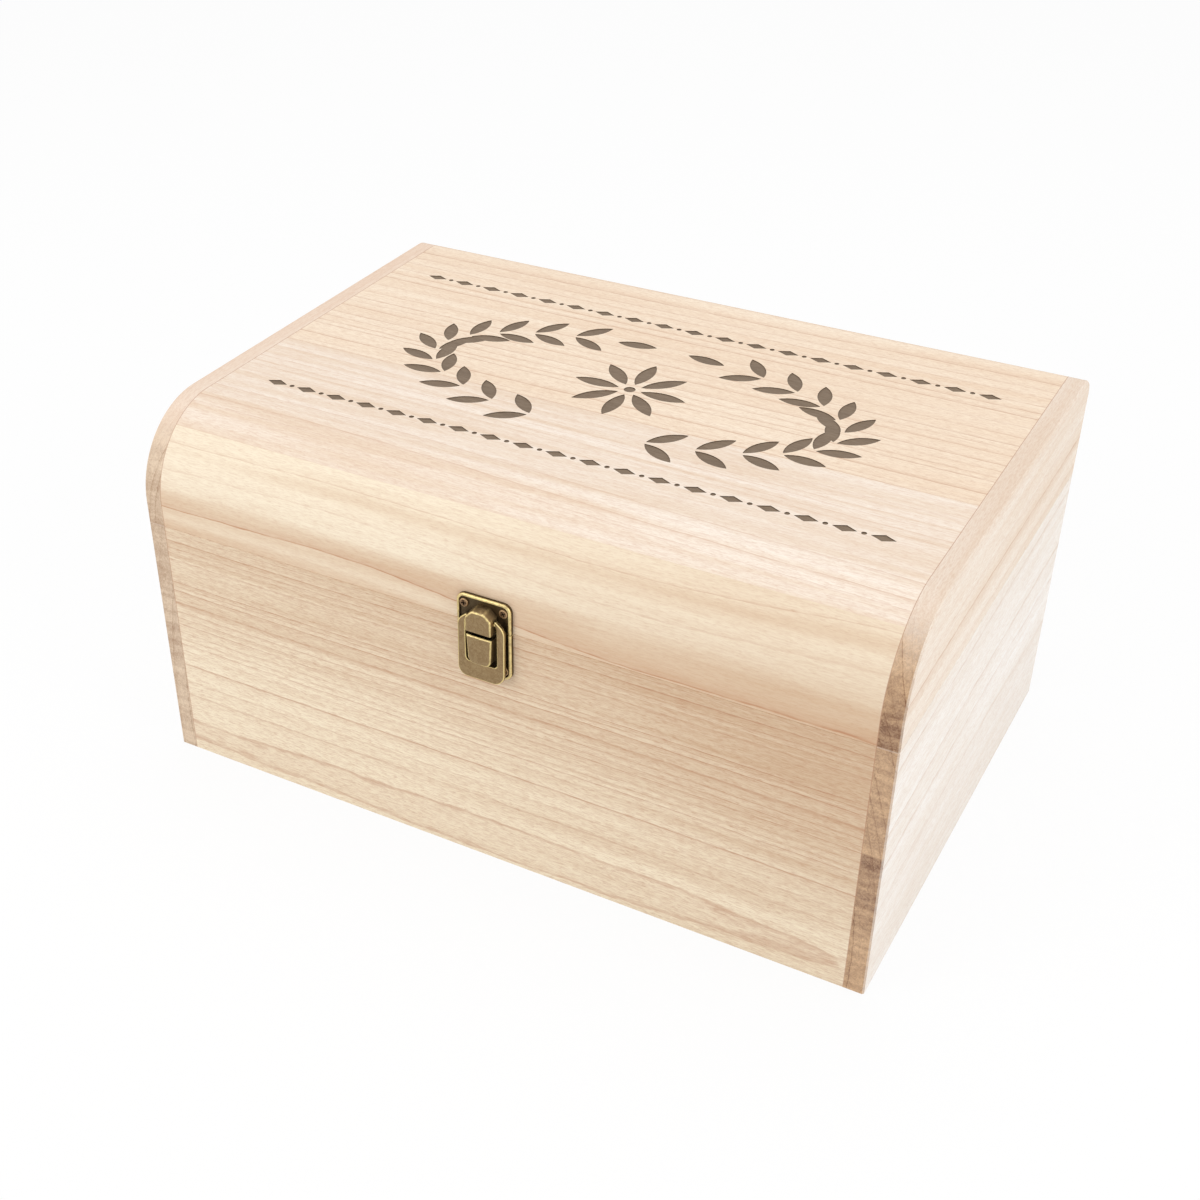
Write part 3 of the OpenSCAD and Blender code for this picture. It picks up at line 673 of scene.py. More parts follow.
def build_old_plating():
    """A node group that gives worn edges with painted highlight and dirt with painted shade from the marked
    edges.
    """
    inputs = {"Place": None, "Edge": 0.0, "Grain Size": 0.4 * MM, "Depth": 0.0}
    group, given, out = new_group("old_plating", inputs, ["Wear And Highlight", "Dirt And Shade", "Mottle"])
    waves = sum_of(group, "DIVIDE", 1.0, given["Grain Size"])
    inputs = {"Vector": given["Place"], "Scale": waves, "Detail": 3.0, "Roughness": 0.6}
    fine = add(group, "TexNoise", inputs).outputs["Fac"]
    inputs = {"Vector": given["Place"], "Scale": times(group, waves, PATCH_WAVES), "Detail": 2.0}
    patches = add(group, "TexNoise", inputs).outputs["Fac"]
    # Outer edges: rubbed wear and painted highlight. Hollows and inner corners: dirt and painted shade.
    worn_and_lit = plus(group, given["Edge"], centred(group, patches, WEAR_AND_HIGHLIGHT_PATCHES))
    hollow = plus(group, less(group, given["Depth"], given["Edge"]), centred(group, patches, DIRT_AND_SHADE_PATCHES))
    masks = {
        "Wear And Highlight": ramp(group, worn_and_lit, 0.1, 0.72),
        "Dirt And Shade": ramp(group, hollow, 0.2, 0.85),
        "Mottle": plus(group, times(group, fine, 0.6), times(group, patches, 0.4)),
    }
    for label, mask in masks.items():
        group.links.new(mask, out[label])
    return group


old_plating = build_old_plating()
print("masks:", sockets_out(old_plating))

# %% [markdown]
# The brass is darkened in the hollows near the wood, as dirt and painted shade, and on what faces upwards,
# and its worn, painted-bright edges stay clear of it. So each brass is given the depths along Y where that
# darkening starts and where it is thickest. The screws are of a browner bronze than the plates.

# %% Finish: antique brass
EDGE_MARK = "edge"
# The third colour of each brass is its bright edge colour: rubbed wear and painted highlight.
BRASS_COLOURS = (colour(160, 138, 102), colour(130, 104, 72), colour(236, 215, 152))
SCREW_COLOURS = (colour(132, 104, 76), colour(100, 76, 54), colour(168, 138, 102))
DIRT_AND_SHADE_COLOUR = colour(52, 42, 27)
DIRT_AND_SHADE_SHARE = 0.8
METAL_SHARE = 0.9
PLATING_RELIEF = 0.1 * MM


def antique_brass(name, dirt_and_shade_from, dirt_and_shade_to, colours=BRASS_COLOURS):
    """Old plated metal in its dull, its brown and its bright edge colour of wear and painted highlight,
    darkened between two depths by dirt and painted shade.
    """
    dull, brown, bright = colours
    finish = bpy.data.materials.new(name)
    tree = empty_tree(finish)
    here = add(tree, "TexCoord").outputs
    near_wood = add(tree, "SeparateXYZ", {0: here["Object"]}).outputs[1]
    upward = add(tree, "SeparateXYZ", {0: here["Normal"]}).outputs[2]
    # Darkened near the wood as dirt and painted shade, and darkened on what faces upwards.
    depth = sum_of(tree, "MAXIMUM", ramp(tree, near_wood, dirt_and_shade_from, dirt_and_shade_to),
                   ramp(tree, upward, 0.4, 0.95, 0, 0.62))
    edge = add(tree, "Attribute", attribute_name=EDGE_MARK).outputs["Fac"]
    inputs = {"Place": here["Object"], "Edge": edge, "Depth": depth}
    wear_and_highlight, dirt_and_shade, mottle = add(tree, "Group", inputs, node_tree=old_plating).outputs
    body = mixed(tree, ramp(tree, mottle, 0.28, 0.72), dull, brown)
    # Dirt and painted shade darken the hollows, and worn edges with painted highlight brighten where they are
    # clear of it.
    body = mixed(tree, times(tree, dirt_and_shade, DIRT_AND_SHADE_SHARE), body, DIRT_AND_SHADE_COLOUR)
    clean_and_unshaded = sum_of(tree, "MULTIPLY_ADD", dirt_and_shade, -DIRT_AND_SHADE_SHARE, 1.0)
    body = mixed(tree, times(tree, wear_and_highlight, clean_and_unshaded), body, bright)
    roughness = ramp(tree, mottle, 0.3, 0.7, 0.34, 0.52)
    relief = add(tree, "Bump", {"Height": mottle, "Strength": 0.35, "Distance": PLATING_RELIEF}).outputs[0]
    shader = add(tree, "BsdfPrincipled", {"Base Color": body, "Roughness": roughness, "Normal": relief,
                                          "Metallic": METAL_SHARE})
    add(tree, "OutputMaterial", {"Surface": shader.outputs[0]})
    return finish


catch_brass = antique_brass("catch_brass", front_y - 2.0 * MM, front_y - 1.1 * MM)
ring_brass = antique_brass("ring_brass", front_y - 3.2 * MM, front_y - 2.2 * MM)
hinge_brass = antique_brass("hinge_brass", back_y + 0.4 * MM, back_y - 0.4 * MM)
screw_brass = antique_brass("screw_brass", front_y - 2.05 * MM, front_y - 1.5 * MM, SCREW_COLOURS)
hinge_screw_brass = antique_brass("hinge_screw_brass", back_y + 0.9 * MM, back_y + 0.4 * MM, SCREW_COLOURS)
print(sum(1 for finish in bpy.data.materials if "brass" in finish.name), "brass finishes")

# %% [markdown]
# The next helpers are the moves of modelling by hand. Everything is deselected before a primitive is
# added, because a move in edit mode acts on all that is selected, and `pick` then selects faces, edges or
# points by a test of their place.

# %% Helpers: moves in edit mode
TINY = 0.01
SELECT_MODES = {"verts": "VERT", "edges": "EDGE", "faces": "FACE"}


def add_sheet(name, left, right, low, high, z=0.0):
    """A flat rectangle, left in edit mode with all of it selected."""
    bpy.ops.object.select_all(action="DESELECT")
    bpy.ops.mesh.primitive_plane_add(size=1, location=(0, 0, 0))
    piece = bpy.context.object
    piece.name = name
    bpy.ops.object.mode_set(mode="EDIT")
    bpy.ops.transform.resize(value=(right - left, high - low, 1))
    bpy.ops.transform.translate(value=((left + right) / 2, (low + high) / 2, z))
    return piece


def pick(kind, test):
    """Selects what passes the test: a point, the two ends of an edge, or a face's middle and normal."""
    bpy.ops.mesh.select_mode(type=SELECT_MODES[kind])
    bpy.ops.mesh.select_all(action="DESELECT")
    shape = bmesh.from_edit_mesh(bpy.context.object.data)
    shape.normal_update()
    for part in getattr(shape, kind):
        if kind == "verts":
            chosen = test(part.co)
        elif kind == "edges":
            chosen = test(part.verts[0].co, part.verts[1].co)
        else:
            chosen = test(part.calc_center_median(), part.normal)
        if chosen:
            part.select_set(True)
    bmesh.update_edit_mesh(bpy.context.object.data)


def pull(vector):
    """Extrudes what is selected by the vector."""
    bpy.ops.mesh.extrude_region_move(TRANSFORM_OT_translate={"value": vector})


def turn_faces_out():
    """Turns every face outwards."""
    bpy.ops.mesh.select_all(action="SELECT")
    bpy.ops.mesh.normals_make_consistent(inside=False)


def thicken(height):
    """Extrudes the whole sheet upwards into a closed block."""
    bpy.ops.mesh.select_all(action="SELECT")
    pull((0, 0, height))
    turn_faces_out()


print("helpers for edit mode are ready")

# %% [markdown]
# Whole pieces are given modifiers, joined and copied. A copy gets a mesh of its own, so that each piece
# can be placed by moving its mesh, with its object left at the origin.

# %% Helpers: whole pieces


def choose(piece):
    """Selects the piece alone and makes it the active one."""
    bpy.ops.object.select_all(action="DESELECT")
    piece.select_set(True)
    bpy.context.view_layer.objects.active = piece


def modify(piece, kind, **settings):
    """Adds a modifier to the piece and applies it."""
    bpy.context.view_layer.objects.active = piece
    modifier = piece.modifiers.new(kind.lower(), kind)
    for name, value in settings.items():
        setattr(modifier, name, value)
    bpy.ops.object.modifier_apply(modifier=modifier.name)


def soften(piece, width, segments):
    """Rounds the sharp edges of a piece."""
    modify(piece, "BEVEL", width=width, segments=segments, limit_method="ANGLE",
           angle_limit=math.radians(40))


def join_pieces(first, *others):
    """Joins pieces into the first one."""
    choose(first)
    for piece in others:
        piece.select_set(True)
    bpy.ops.object.join()


def own_copy(piece, name):
    """A copy of a piece with a mesh of its own."""
    copy = piece.copy()
    copy.data = piece.data.copy()
    copy.name = name
    bpy.context.scene.collection.objects.link(copy)
    return copy


print("helpers for whole pieces are ready")

# %% [markdown]
# The finish needs to know where a piece is rubbed and catches a painted highlight, and where dirt and
# painted shade gather. A face that bends round an outer corner within a small width gets a high mark, a
# face in an inner corner a low one, and a broad flat face none. A face beside a flat one gets only half
# the mark, so that a bright edge fades towards the face.
#
# A small part is modelled lying flat, X to the right, Y up from the line where the lid parts from the
# base and Z out of the wood. Two matrices then stand it up against the front or the back of the box.

# %% Helpers: mark, place and finish a piece
FULLY_MARKED = 0.5
SMOOTH_TO = math.radians(32)
STAND_UP = Matrix.Rotation(math.radians(90), 4, "X") @ Matrix.Scale(MM, 4)
ON_FRONT = Matrix.Translation((0, front_y, parting_z)) @ STAND_UP


def on_back(x):
    """The place of a piece on the back of the box, at x."""
    return Matrix.Translation((x, back_y, parting_z)) @ Matrix.Rotation(math.pi, 4, "Z") @ STAND_UP


def edge_bend(face):
    """How sharply a face bends outwards, from -1 to 1 for an edge that is fully marked."""
    bend = sum(edge.calc_face_angle_signed(0) * edge.calc_length() for edge in face.edges if edge.is_manifold)
    return max(-1.0, min(1.0, bend * FULLY_MARKED / (2 * face.calc_area() + 1e-9)))


def mark_edges(piece):
    """Marks each face of a piece by how sharply it bends: outer edges for wear and painted highlight, inner
    corners for dirt and painted shade.
    """
    shape = bmesh.new()
    shape.from_mesh(piece.data)
    bends = {face: edge_bend(face) for face in shape.faces}
    marks = []
    for face, bend in bends.items():
        beside = [bends[other] for edge in face.edges for other in edge.link_faces]
        marks.append((bend + min(beside)) / 2 if bend > 0 else bend)
    shape.free()
    layer = piece.data.attributes.new(EDGE_MARK, "FLOAT", "FACE")
    layer.data.foreach_set("value", marks)


def finish_piece(piece, place, finish, body, node):
    """Marks, shades and places a finished piece, in the stead of the node that it stands for."""
    mark_edges(piece)
    piece.data.transform(place)
    piece.data.materials.clear()
    piece.data.materials.append(finish)
    choose(piece)
    bpy.ops.object.shade_smooth_by_angle(angle=SMOOTH_TO)
    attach(piece, body)
    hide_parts(node)
    print(f"{piece.name}: {len(piece.data.polygons)} faces")


print("the front of the box lies at y =", round(front_y, 4), "and its back at y =", round(back_y, 4))

# %% [markdown]
# The two plates of the catch are one rounded rectangle with a raised rim, cut apart where the lid parts
# from the base. So one sheet is rounded at its corners, extruded to its height, bevelled and inset for
# the rim and sunk inside it. It is then copied, and each copy is bisected at the parting line.

# %% Catch plates
catch_low, catch_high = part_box("catch_plate")
keeper_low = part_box("keeper_plate")[0]
CATCH_WIDE = (catch_high.x - catch_low.x) / MM
CATCH_UP = (catch_high.z - parting_z) / MM
KEEPER_DOWN = (parting_z - keeper_low.z) / MM
PLATE_GAP = 0.15
CORNER = 4.5
RIM_HIGH = 2.2
RIM_ROUND = 0.8
RIM_FLAT = 0.45
INNER_SLOPE = 0.3
INNER_STEP = 0.25
CUT_ROUND = 0.2
FLOOR_HIGH = 1.2


def rimmed_plate(name):
    """The whole rounded plate with its rim."""
    piece = add_sheet(name, -CATCH_WIDE / 2, CATCH_WIDE / 2, -KEEPER_DOWN, CATCH_UP)
    bpy.ops.mesh.bevel(offset=CORNER, segments=10, affect="VERTICES")
    thicken(RIM_HIGH)
    pick("edges", lambda a, b: min(a.z, b.z) > RIM_HIGH - TINY)
    bpy.ops.mesh.bevel(offset=RIM_ROUND, segments=4, affect="EDGES")
    pick("faces", lambda middle, normal: middle.z > RIM_HIGH - TINY and normal.z > 0.99)
    bpy.ops.mesh.inset(thickness=RIM_FLAT)
    bpy.ops.mesh.inset(thickness=INNER_SLOPE, depth=-INNER_STEP)
    bpy.ops.mesh.inset(thickness=INNER_STEP, depth=-(RIM_HIGH - FLOOR_HIGH - INNER_STEP))
    bpy.ops.object.mode_set(mode="OBJECT")
    return piece


def cut_at(piece, height, keep_above):
    """Cuts a piece across at a height in Y, closes the cut and rounds it a little."""
    choose(piece)
    bpy.ops.object.mode_set(mode="EDIT")
    bpy.ops.mesh.select_all(action="SELECT")
    bpy.ops.mesh.bisect(plane_co=(0, height, 0), plane_no=(0, 1, 0), use_fill=True,
                        clear_inner=keep_above, clear_outer=not keep_above)
    pick("edges", lambda a, b: abs(a.y - height) < TINY and abs(b.y - height) < TINY)
    bpy.ops.mesh.bevel(offset=CUT_ROUND, segments=2, affect="EDGES", clamp_overlap=True)
    turn_faces_out()
    bpy.ops.object.mode_set(mode="OBJECT")


catch_sheet = rimmed_plate("catch_plate_dressed")
keeper_sheet = own_copy(catch_sheet, "keeper_plate_dressed")
cut_at(catch_sheet, PLATE_GAP, keep_above=True)
cut_at(keeper_sheet, -PLATE_GAP, keep_above=False)
print(f"plates {CATCH_WIDE:.1f} mm wide, {CATCH_UP:.1f} mm above and {KEEPER_DOWN:.1f} mm below the line")

# %% [markdown]
# A hollow hood stands on the upper plate and carries the ring. It is drawn out of the sheet, so its
# corners are cut off, its front edge is soft and its top leans back a little. A block is extruded from
# its outline, its back and its lower face are taken away, and what is left gets the sheet's thickness.

# %% Hood
HOOD_WIDE = 13.7
HOOD_UP = 11.9
HOOD_CUT = 3.6
HOOD_ROUND = 0.9
HOOD_LEAN = 0.6
HOOD_OUT = (front_y - catch_low.y) / MM
BURIED = 0.5
SHELL = 1.2


def hollow_out(open_face):
    """In edit mode, takes away the back and the open face, and gives the shell its wall."""
    pick("faces", lambda middle, normal: normal.z < -0.9 or open_face(normal))
    bpy.ops.mesh.delete(type="FACE")
    bpy.ops.object.mode_set(mode="OBJECT")
    modify(bpy.context.object, "SOLIDIFY", thickness=SHELL, offset=-1, use_even_offset=True)


hood = add_sheet("hood", -HOOD_WIDE / 2, HOOD_WIDE / 2, PLATE_GAP, HOOD_UP, z=BURIED)
pick("verts", lambda point: point.y > 1)
bpy.ops.mesh.bevel(offset=HOOD_CUT, segments=1, affect="VERTICES")
pick("verts", lambda point: point.y > 1)
bpy.ops.mesh.bevel(offset=HOOD_ROUND, segments=4, affect="VERTICES")
thicken(HOOD_OUT - BURIED)
pick("verts", lambda point: point.y > 1 and point.z > 2)
bpy.ops.transform.translate(value=(0, -HOOD_LEAN, 0))
pick("edges", lambda a, b: min(a.z, b.z) > HOOD_OUT - TINY and max(a.y, b.y) > 1)
bpy.ops.mesh.bevel(offset=HOOD_ROUND, segments=4, affect="EDGES")
hollow_out(lambda normal: normal.y < -0.9)
print(f"hood stands {HOOD_OUT:.1f} mm off the wood")

# %% [markdown]
# The nose on the lower plate is the hood's counterpart, and the ring hooks under it. So its foot is
# rounded and a little narrower than its top, and its upper face is the open one.

# %% Nose
NOSE_WIDE = 13.7
NOSE_LOW_WIDE = 12.0
NOSE_FROM = 2.5
NOSE_TO = 18.2
NOSE_CORNER = 3.4
NOSE_ROUND = 1.0
NOSE_OUT = (front_y - keeper_low.y) / MM

nose = add_sheet("nose", -NOSE_WIDE / 2, NOSE_WIDE / 2, -NOSE_TO, -NOSE_FROM, z=BURIED)
pick("verts", lambda point: point.y < -NOSE_TO + TINY)
bpy.ops.transform.resize(value=(NOSE_LOW_WIDE / NOSE_WIDE, 1, 1))
bpy.ops.mesh.bevel(offset=NOSE_CORNER, segments=8, affect="VERTICES")
thicken(NOSE_OUT - BURIED)
pick("edges", lambda a, b: min(a.z, b.z) > NOSE_OUT - TINY)
bpy.ops.mesh.bevel(offset=NOSE_ROUND, segments=5, affect="EDGES")
hollow_out(lambda normal: normal.y > 0.9)
print(f"nose stands {NOSE_OUT:.1f} mm off the wood")

# %% [markdown]
# Hood and nose are one piece with their plates, so each is joined to its own. The upper plate then rides
# on the lid and the lower one on the base.

# %% Join hood and nose to their plates
join_pieces(catch_sheet, hood)
finish_piece(catch_sheet, ON_FRONT, catch_brass, "lid", "catch_plate")
join_pieces(keeper_sheet, nose)
finish_piece(keeper_sheet, ON_FRONT, catch_brass, "base", "keeper_plate")

# %% [markdown]
# The ring is a flat bar bent into a frame: a broad bar below, two arms beside the nose and two ends that
# reach in towards the hood. The bar is drawn first, its lower corners are rounded, and the arms and their
# ends are extruded from its upper edge.

# %% Ring: its outline
RING_WIDE = 25.0
RING_OPENING = 16.8
RING_TO = 27.2
BAR_TOP = -18.6
RING_BACK = 3.0
RING_CORNER = 5.4
SHOULDER_UP = 3.1
SHOULDER_ROUND = 2.6
END_UP = 7.1
END_IN = 7.15
END_TIP = 0.9

ring = add_sheet("latch_ring_dressed", -RING_WIDE / 2, RING_WIDE / 2, -RING_TO, BAR_TOP, z=RING_BACK)
pick("verts", lambda point: point.y < BAR_TOP - 1)
bpy.ops.mesh.bevel(offset=RING_CORNER, segments=8, affect="VERTICES")
for side in (-1, 1):
    bpy.ops.mesh.select_all(action="SELECT")
    bpy.ops.mesh.bisect(plane_co=(side * RING_OPENING / 2, 0, 0), plane_no=(1, 0, 0))
pick("edges", lambda a, b: min(a.y, b.y) > BAR_TOP - TINY and abs(a.x + b.x) > RING_OPENING)
pull((0, SHOULDER_UP - BAR_TOP, 0))
pull((0, END_UP - SHOULDER_UP, 0))
for side in (-1, 1):
    pick("verts", lambda point: point.y > END_UP - TINY and side * point.x > RING_WIDE / 2 - TINY)
    bpy.ops.transform.translate(value=(side * (END_IN + END_TIP - RING_WIDE / 2), 0, 0))
    pick("verts", lambda point: point.y > END_UP - TINY and END_IN + 1 < side * point.x < END_IN + 1.5)
    bpy.ops.transform.translate(value=(side * (END_IN - RING_OPENING / 2), 0, 0))
pick("verts", lambda point: abs(point.y - SHOULDER_UP) < TINY and abs(point.x) > RING_WIDE / 2 - TINY)
bpy.ops.mesh.bevel(offset=SHOULDER_ROUND, segments=6, affect="VERTICES")
print(f"ring {RING_WIDE:.0f} mm wide with an opening of {RING_OPENING:.1f} mm")

# %% [markdown]
# The outline is thickened, the inner corners above the broad bar are rounded with a larger radius, and
# then every sharp edge with a small one. On the real ring the broad bar stands out a little, as a lip for
# the finger, so it is turned about the crease where it starts.

# %% Ring: its thickness and its lip
RING_THICK = 2.0
OPENING_CORNER = 2.0
RING_ROUND = 0.6
LIP_TURN = math.radians(10)

thicken(RING_THICK)
bpy.ops.mesh.dissolve_limited(angle_limit=math.radians(1))
pick("edges", lambda a, b: abs(abs(a.x) - RING_OPENING / 2) < TINY and abs(a.x - b.x) < TINY
     and max(abs(a.y - BAR_TOP), abs(b.y - BAR_TOP)) < TINY)
bpy.ops.mesh.bevel(offset=OPENING_CORNER, segments=6, affect="EDGES")
turn_faces_out()
bpy.ops.object.mode_set(mode="OBJECT")
soften(ring, RING_ROUND, 4)
bpy.ops.object.mode_set(mode="EDIT")
pick("verts", lambda point: point.y < BAR_TOP - 0.2)
bpy.ops.transform.rotate(value=LIP_TURN, orient_axis="X",
                         center_override=(0, BAR_TOP, RING_BACK + RING_THICK / 2))
bpy.ops.object.mode_set(mode="OBJECT")
print(f"lip turned out by {math.degrees(LIP_TURN):.0f} degrees")

# %% [markdown]
# A stud on each end reaches into the side of the hood, and the ring turns on the two. A stud is a short
# cylinder lying across, with its rims rounded.

# %% Ring: its studs
STUD_UP = 5.1
STUD_OUT = 3.8
STUD_RADIUS = 0.8
STUD_ROUND = 0.15
STUD_FROM = HOOD_WIDE / 2 - 1.5 * SHELL
STUD_TO = END_IN + 0.6

for side in (-1, 1):
    bpy.ops.object.select_all(action="DESELECT")
    bpy.ops.mesh.primitive_cylinder_add(vertices=24, radius=STUD_RADIUS, depth=STUD_TO - STUD_FROM,
                                        location=(side * (STUD_FROM + STUD_TO) / 2, STUD_UP, STUD_OUT),
                                        rotation=(0, math.radians(90), 0))
    stud = bpy.context.object
    modify(stud, "BEVEL", width=STUD_ROUND, segments=2, limit_method="ANGLE")
    join_pieces(ring, stud)
finish_piece(ring, ON_FRONT, ring_brass, "ring", "latch_ring")

# %% [markdown]
# The screws of the catch have low domed heads with a cross recess. One head is a cylinder with a rounded
# edge, and two narrow blocks are cut out of it crosswise with a Boolean. It is modelled once and copied,
# with a turn of its own for each, because no two screws stop at the same angle.

# %% Helpers: a screw head, and copies of it
HEAD_RADIUS = 2.3
RECESS_LONG = 2.7
RECESS_WIDE = 0.62
RECESS_DEEP = 0.75


def screw_head(name, low, high, dome):
    """A head with a cross recess, from the height low to high, rounded by dome at its edge."""
    bpy.ops.object.select_all(action="DESELECT")
    bpy.ops.mesh.primitive_cylinder_add(vertices=40, radius=HEAD_RADIUS, depth=high - low,
                                        location=(0, 0, (low + high) / 2))
    head = bpy.context.object
    head.name = name
    bpy.ops.object.transform_apply()
    bpy.ops.object.mode_set(mode="EDIT")
    pick("faces", lambda middle, normal: normal.z > 0.9)
    bpy.ops.mesh.bevel(offset=dome, segments=5, affect="EDGES")
    bpy.ops.object.mode_set(mode="OBJECT")
    for turn in (0, 90):
        bpy.ops.object.select_all(action="DESELECT")
        bpy.ops.mesh.primitive_cube_add(size=1, location=(0, 0, high), rotation=(0, 0, math.radians(turn)))
        block = bpy.context.object
        block.scale = (RECESS_LONG, RECESS_WIDE, 2 * RECESS_DEEP)
        modify(head, "BOOLEAN", object=block, operation="DIFFERENCE", solver="EXACT")
        bpy.data.objects.remove(block)
    print(f"{name}: {len(head.data.polygons)} faces")
    return head


def place_screws(pattern, right, up, turns, matrix, finish, body, node):
    """Copies the pattern to both sides at right and up, each with its turn, and joins the copies."""
    copies = []
    for side, turn in zip((-1, 1), turns):
        copy = own_copy(pattern, node + "_dressed")
        spun = Matrix.Rotation(math.radians(turn), 4, "Z")
        copy.data.transform(Matrix.Translation((side * right, up, 0)) @ spun)
        copies.append(copy)
    join_pieces(*copies)
    finish_piece(copies[0], matrix, finish, body, node)


print(f"screw heads {2 * HEAD_RADIUS:.1f} mm across")

# %% [markdown]
# Two screws hold each plate, one on each side near its outer corners. The lower two stand behind the
# ring and show when it is swung up.

# %% Screws of the catch
HEAD_HIGH = 1.1
HEAD_DOME = 0.6
SCREW_X = 10.5
CATCH_UP_TO_SCREWS = 10.9
KEEPER_UP_TO_SCREWS = -21.2

catch_head = screw_head("catch_head", FLOOR_HIGH, FLOOR_HIGH + HEAD_HIGH, HEAD_DOME)
place_screws(catch_head, SCREW_X, CATCH_UP_TO_SCREWS, (8, 31), ON_FRONT, screw_brass, "lid",
             "catch_screws")
place_screws(catch_head, SCREW_X, KEEPER_UP_TO_SCREWS, (52, 19), ON_FRONT, screw_brass, "base",
             "keeper_screws")
bpy.data.objects.remove(catch_head)

# %% [markdown]
# Each hinge is two leaves of sheet brass whose ends are curled round a pin. A leaf starts as a flat sheet
# cut across where the knuckles of the other leaf stand, and those pieces are taken out. It is given its
# thickness, and two screw holes are cut in it.

# %% Hinges: a flat leaf with its holes
HINGE_LONG = 38.0
LEAF_HIGH = 17.0
LEAF_THICK = 1.2
LEAF_CORNER = 2.5
LEAF_ROUND = 0.22
KNUCKLE = 2.4
MOVING_GAP = 0.3
HINGE_SCREW_X = 12.0
HINGE_SCREW_UP = 10.5
HOLE_RADIUS = HEAD_RADIUS + 0.15
HALF = HINGE_LONG / 2
THIRD = HINGE_LONG / 6
OUTER_KNUCKLES = [(-HALF - 1, -THIRD), (THIRD, HALF + 1)]
MIDDLE_KNUCKLE = [(-THIRD, THIRD)]


def leaf_sheet(name, taken_out):
    """A flat leaf above its pin, without the stretches along X where the other's knuckles stand."""
    leaf = add_sheet(name, -HALF, HALF, PLATE_GAP, LEAF_HIGH)
    pick("verts", lambda point: point.y > 1)
    bpy.ops.mesh.bevel(offset=LEAF_CORNER, segments=6, affect="VERTICES")
    cuts = [((x, 0, 0), (1, 0, 0)) for stretch in taken_out for x in stretch if abs(x) < HALF]
    cuts.append(((0, KNUCKLE + MOVING_GAP, 0), (0, 1, 0)))
    for point, normal in cuts:
        bpy.ops.mesh.select_all(action="SELECT")
        bpy.ops.mesh.bisect(plane_co=point, plane_no=normal)
    pick("faces", lambda middle, normal: middle.y < KNUCKLE + MOVING_GAP
         and any(low < middle.x < high for low, high in taken_out))
    bpy.ops.mesh.delete(type="FACE")
    bpy.ops.mesh.select_all(action="SELECT")
    bpy.ops.mesh.dissolve_limited(angle_limit=math.radians(1))
    thicken(LEAF_THICK)
    bpy.ops.object.mode_set(mode="OBJECT")
    soften(leaf, LEAF_ROUND, 2)
    return leaf


def drill_holes(leaf):
    """Cuts the two screw holes of a leaf."""
    for side in (-1, 1):
        bpy.ops.object.select_all(action="DESELECT")
        bpy.ops.mesh.primitive_cylinder_add(vertices=36, radius=HOLE_RADIUS, depth=5 * LEAF_THICK,
                                            location=(side * HINGE_SCREW_X, HINGE_SCREW_UP, 0))
        drill = bpy.context.object
        modify(leaf, "BOOLEAN", object=drill, operation="DIFFERENCE", solver="EXACT")
        bpy.data.objects.remove(drill)


lid_leaf = leaf_sheet("left_hinge_lid_leaf_dressed", OUTER_KNUCKLES)
drill_holes(lid_leaf)
base_leaf = leaf_sheet("left_hinge_base_leaf_dressed", MIDDLE_KNUCKLE)
drill_holes(base_leaf)
print(f"leaves {HINGE_LONG:.0f} by {LEAF_HIGH:.0f} mm")

# %% [markdown]
# A knuckle is the edge of the sheet curled round the pin: a narrow strip is spun about the pin's centre
# for most of a turn. The lid leaf carries the middle knuckle and the base leaf the two outer ones, and
# the base leaf is then turned upside down.

# %% Hinges: curls
PIN_OUT = 2.7
CURL_TURN = math.radians(-300)
CURL_ROUND = 0.15
UPSIDE_DOWN = Matrix.Scale(-1, 4, (0, 1, 0))


def curl_knuckles(leaf, stretches):
    """Curls the leaf's own knuckles round the pin, one for each stretch along X."""
    for low, high in stretches:
        low, high = max(low + MOVING_GAP / 2, -HALF), min(high - MOVING_GAP / 2, HALF)
        curl = add_sheet("curl", low, high, -LEAF_THICK / 2, LEAF_THICK / 2)
        bpy.ops.transform.rotate(value=math.radians(90), orient_axis="X", center_override=(0, 0, 0))
        bpy.ops.transform.translate(value=(0, 0, PIN_OUT - KNUCKLE + LEAF_THICK / 2))
        bpy.ops.mesh.spin(steps=28, angle=CURL_TURN, center=(0, 0, PIN_OUT), axis=(1, 0, 0))
        turn_faces_out()
        bpy.ops.object.mode_set(mode="OBJECT")
        soften(curl, CURL_ROUND, 2)
        join_pieces(leaf, curl)


curl_knuckles(lid_leaf, MIDDLE_KNUCKLE)
curl_knuckles(base_leaf, OUTER_KNUCKLES)
base_leaf.data.transform(UPSIDE_DOWN)
base_leaf.data.flip_normals()
print("faces of the leaves:", len(lid_leaf.data.polygons), "and", len(base_leaf.data.polygons))

# %% [markdown]
# The pin is a rod with a domed head on each end, which keeps it in its knuckles. The heads are extruded
# from the ends of a cylinder, widened and bevelled round.

# %% Hinges: pin
PIN_RADIUS = 1.0
PIN_HEAD_RADIUS = 1.7
PIN_HEAD_LONG = 0.8
PIN_HEAD_ROUND = 0.45


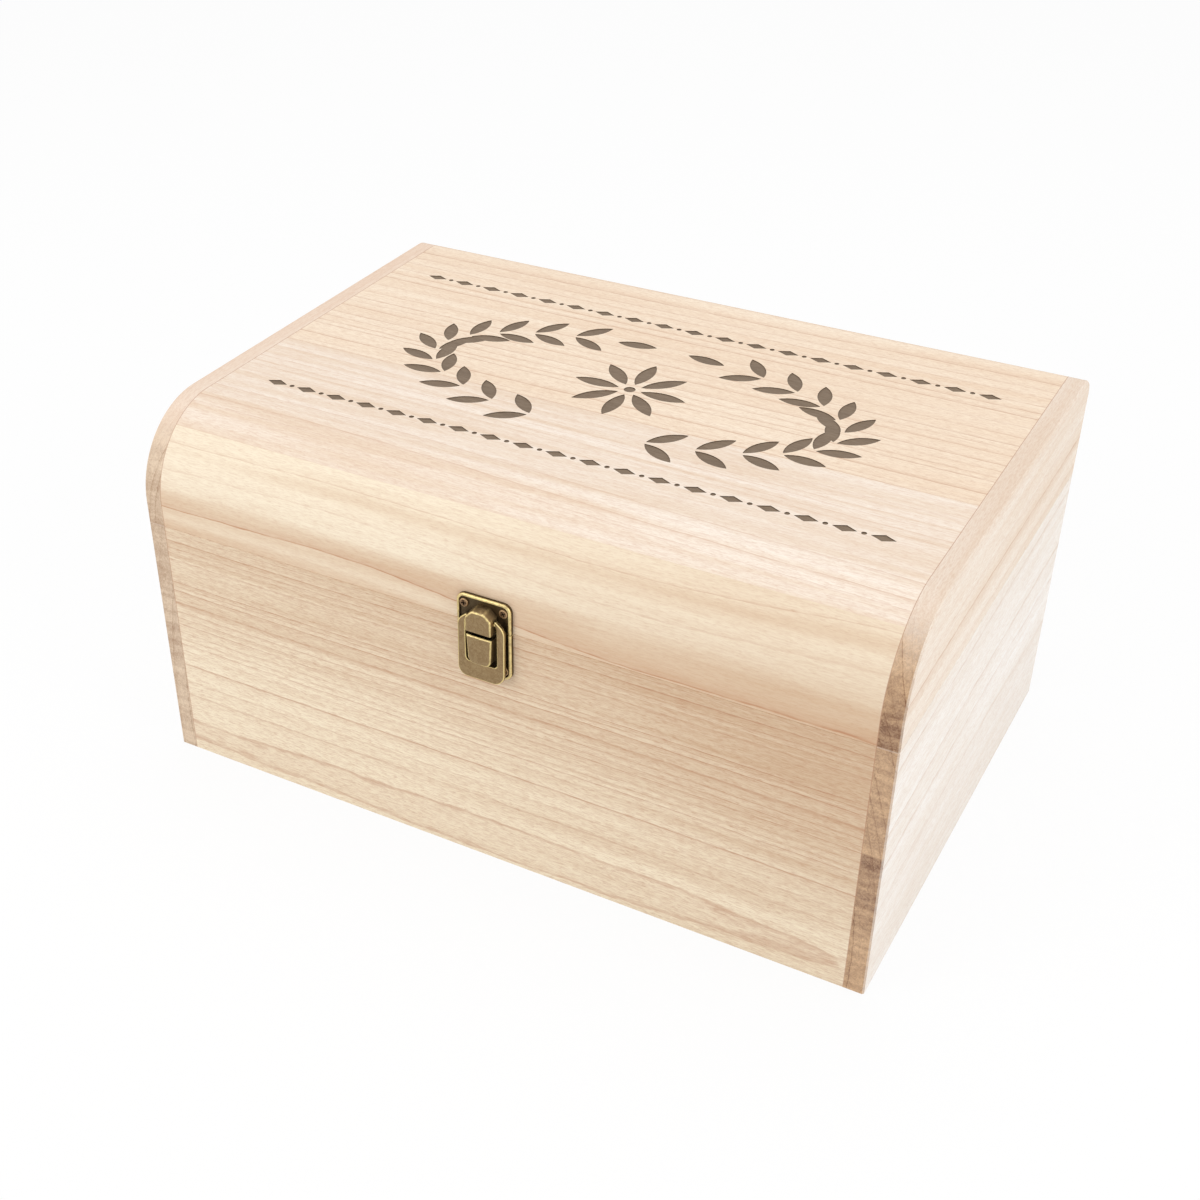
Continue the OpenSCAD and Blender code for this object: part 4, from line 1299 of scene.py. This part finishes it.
def hinge_pin(name):
    """The pin along X with a domed head on each end."""
    bpy.ops.object.select_all(action="DESELECT")
    bpy.ops.mesh.primitive_cylinder_add(vertices=28, radius=PIN_RADIUS, depth=HINGE_LONG,
                                        location=(0, 0, PIN_OUT), rotation=(0, math.radians(90), 0))
    pin = bpy.context.object
    pin.name = name
    bpy.ops.object.transform_apply()
    bpy.ops.object.mode_set(mode="EDIT")
    widen = PIN_HEAD_RADIUS / PIN_RADIUS
    for side in (-1, 1):
        pick("faces", lambda middle, normal: side * middle.x > HALF - TINY)
        pull((0, 0, 0))
        bpy.ops.transform.resize(value=(1, widen, widen), center_override=(side * HALF, 0, PIN_OUT))
        pull((side * PIN_HEAD_LONG, 0, 0))
        bpy.ops.mesh.bevel(offset=PIN_HEAD_ROUND, segments=4, affect="EDGES")
    bpy.ops.mesh.select_all(action="SELECT")
    bpy.ops.mesh.remove_doubles(threshold=0.001)
    turn_faces_out()
    bpy.ops.object.mode_set(mode="OBJECT")
    return pin


pin = hinge_pin("left_hinge_pin_dressed")
print("faces of the pin:", len(pin.data.polygons))

# %% [markdown]
# Both hinges are alike, so the right one is copied from the left one before that is moved. Their screws
# lie flush with the leaves, so they have a flatter head than those of the catch.

# %% Place both hinges
FLUSH_DOME = 0.3
FLUSH_OVER = 0.1
SCREW_TURNS = {
    "right": {"lid": (38, 80), "base": (5, 58)},
    "left": {"lid": (12, 47), "base": (66, 25)},
}
HINGE_PARTS = {"lid_leaf": (lid_leaf, "lid"), "base_leaf": (base_leaf, "base"), "pin": (pin, "base")}

hinge_head = screw_head("hinge_head", FLUSH_OVER, LEAF_THICK + FLUSH_OVER, FLUSH_DOME)
for side, turns in SCREW_TURNS.items():
    pin_low, pin_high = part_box(f"{side}_hinge_pin")
    place = on_back((pin_low.x + pin_high.x) / 2)
    for part, (pattern, body) in HINGE_PARTS.items():
        node = f"{side}_hinge_{part}"
        piece = pattern if side == "left" else own_copy(pattern, node + "_dressed")
        finish_piece(piece, place, hinge_brass, body, node)
    for body, both_turns in turns.items():
        up = HINGE_SCREW_UP if body == "lid" else -HINGE_SCREW_UP
        place_screws(hinge_head, HINGE_SCREW_X, up, both_turns, place, hinge_screw_brass, body,
                     f"{side}_hinge_{body}_screws")
bpy.data.objects.remove(hinge_head)

# %% [markdown]
# Last, the view layer is brought up to date.

# %% Finish
bpy.context.view_layer.update()
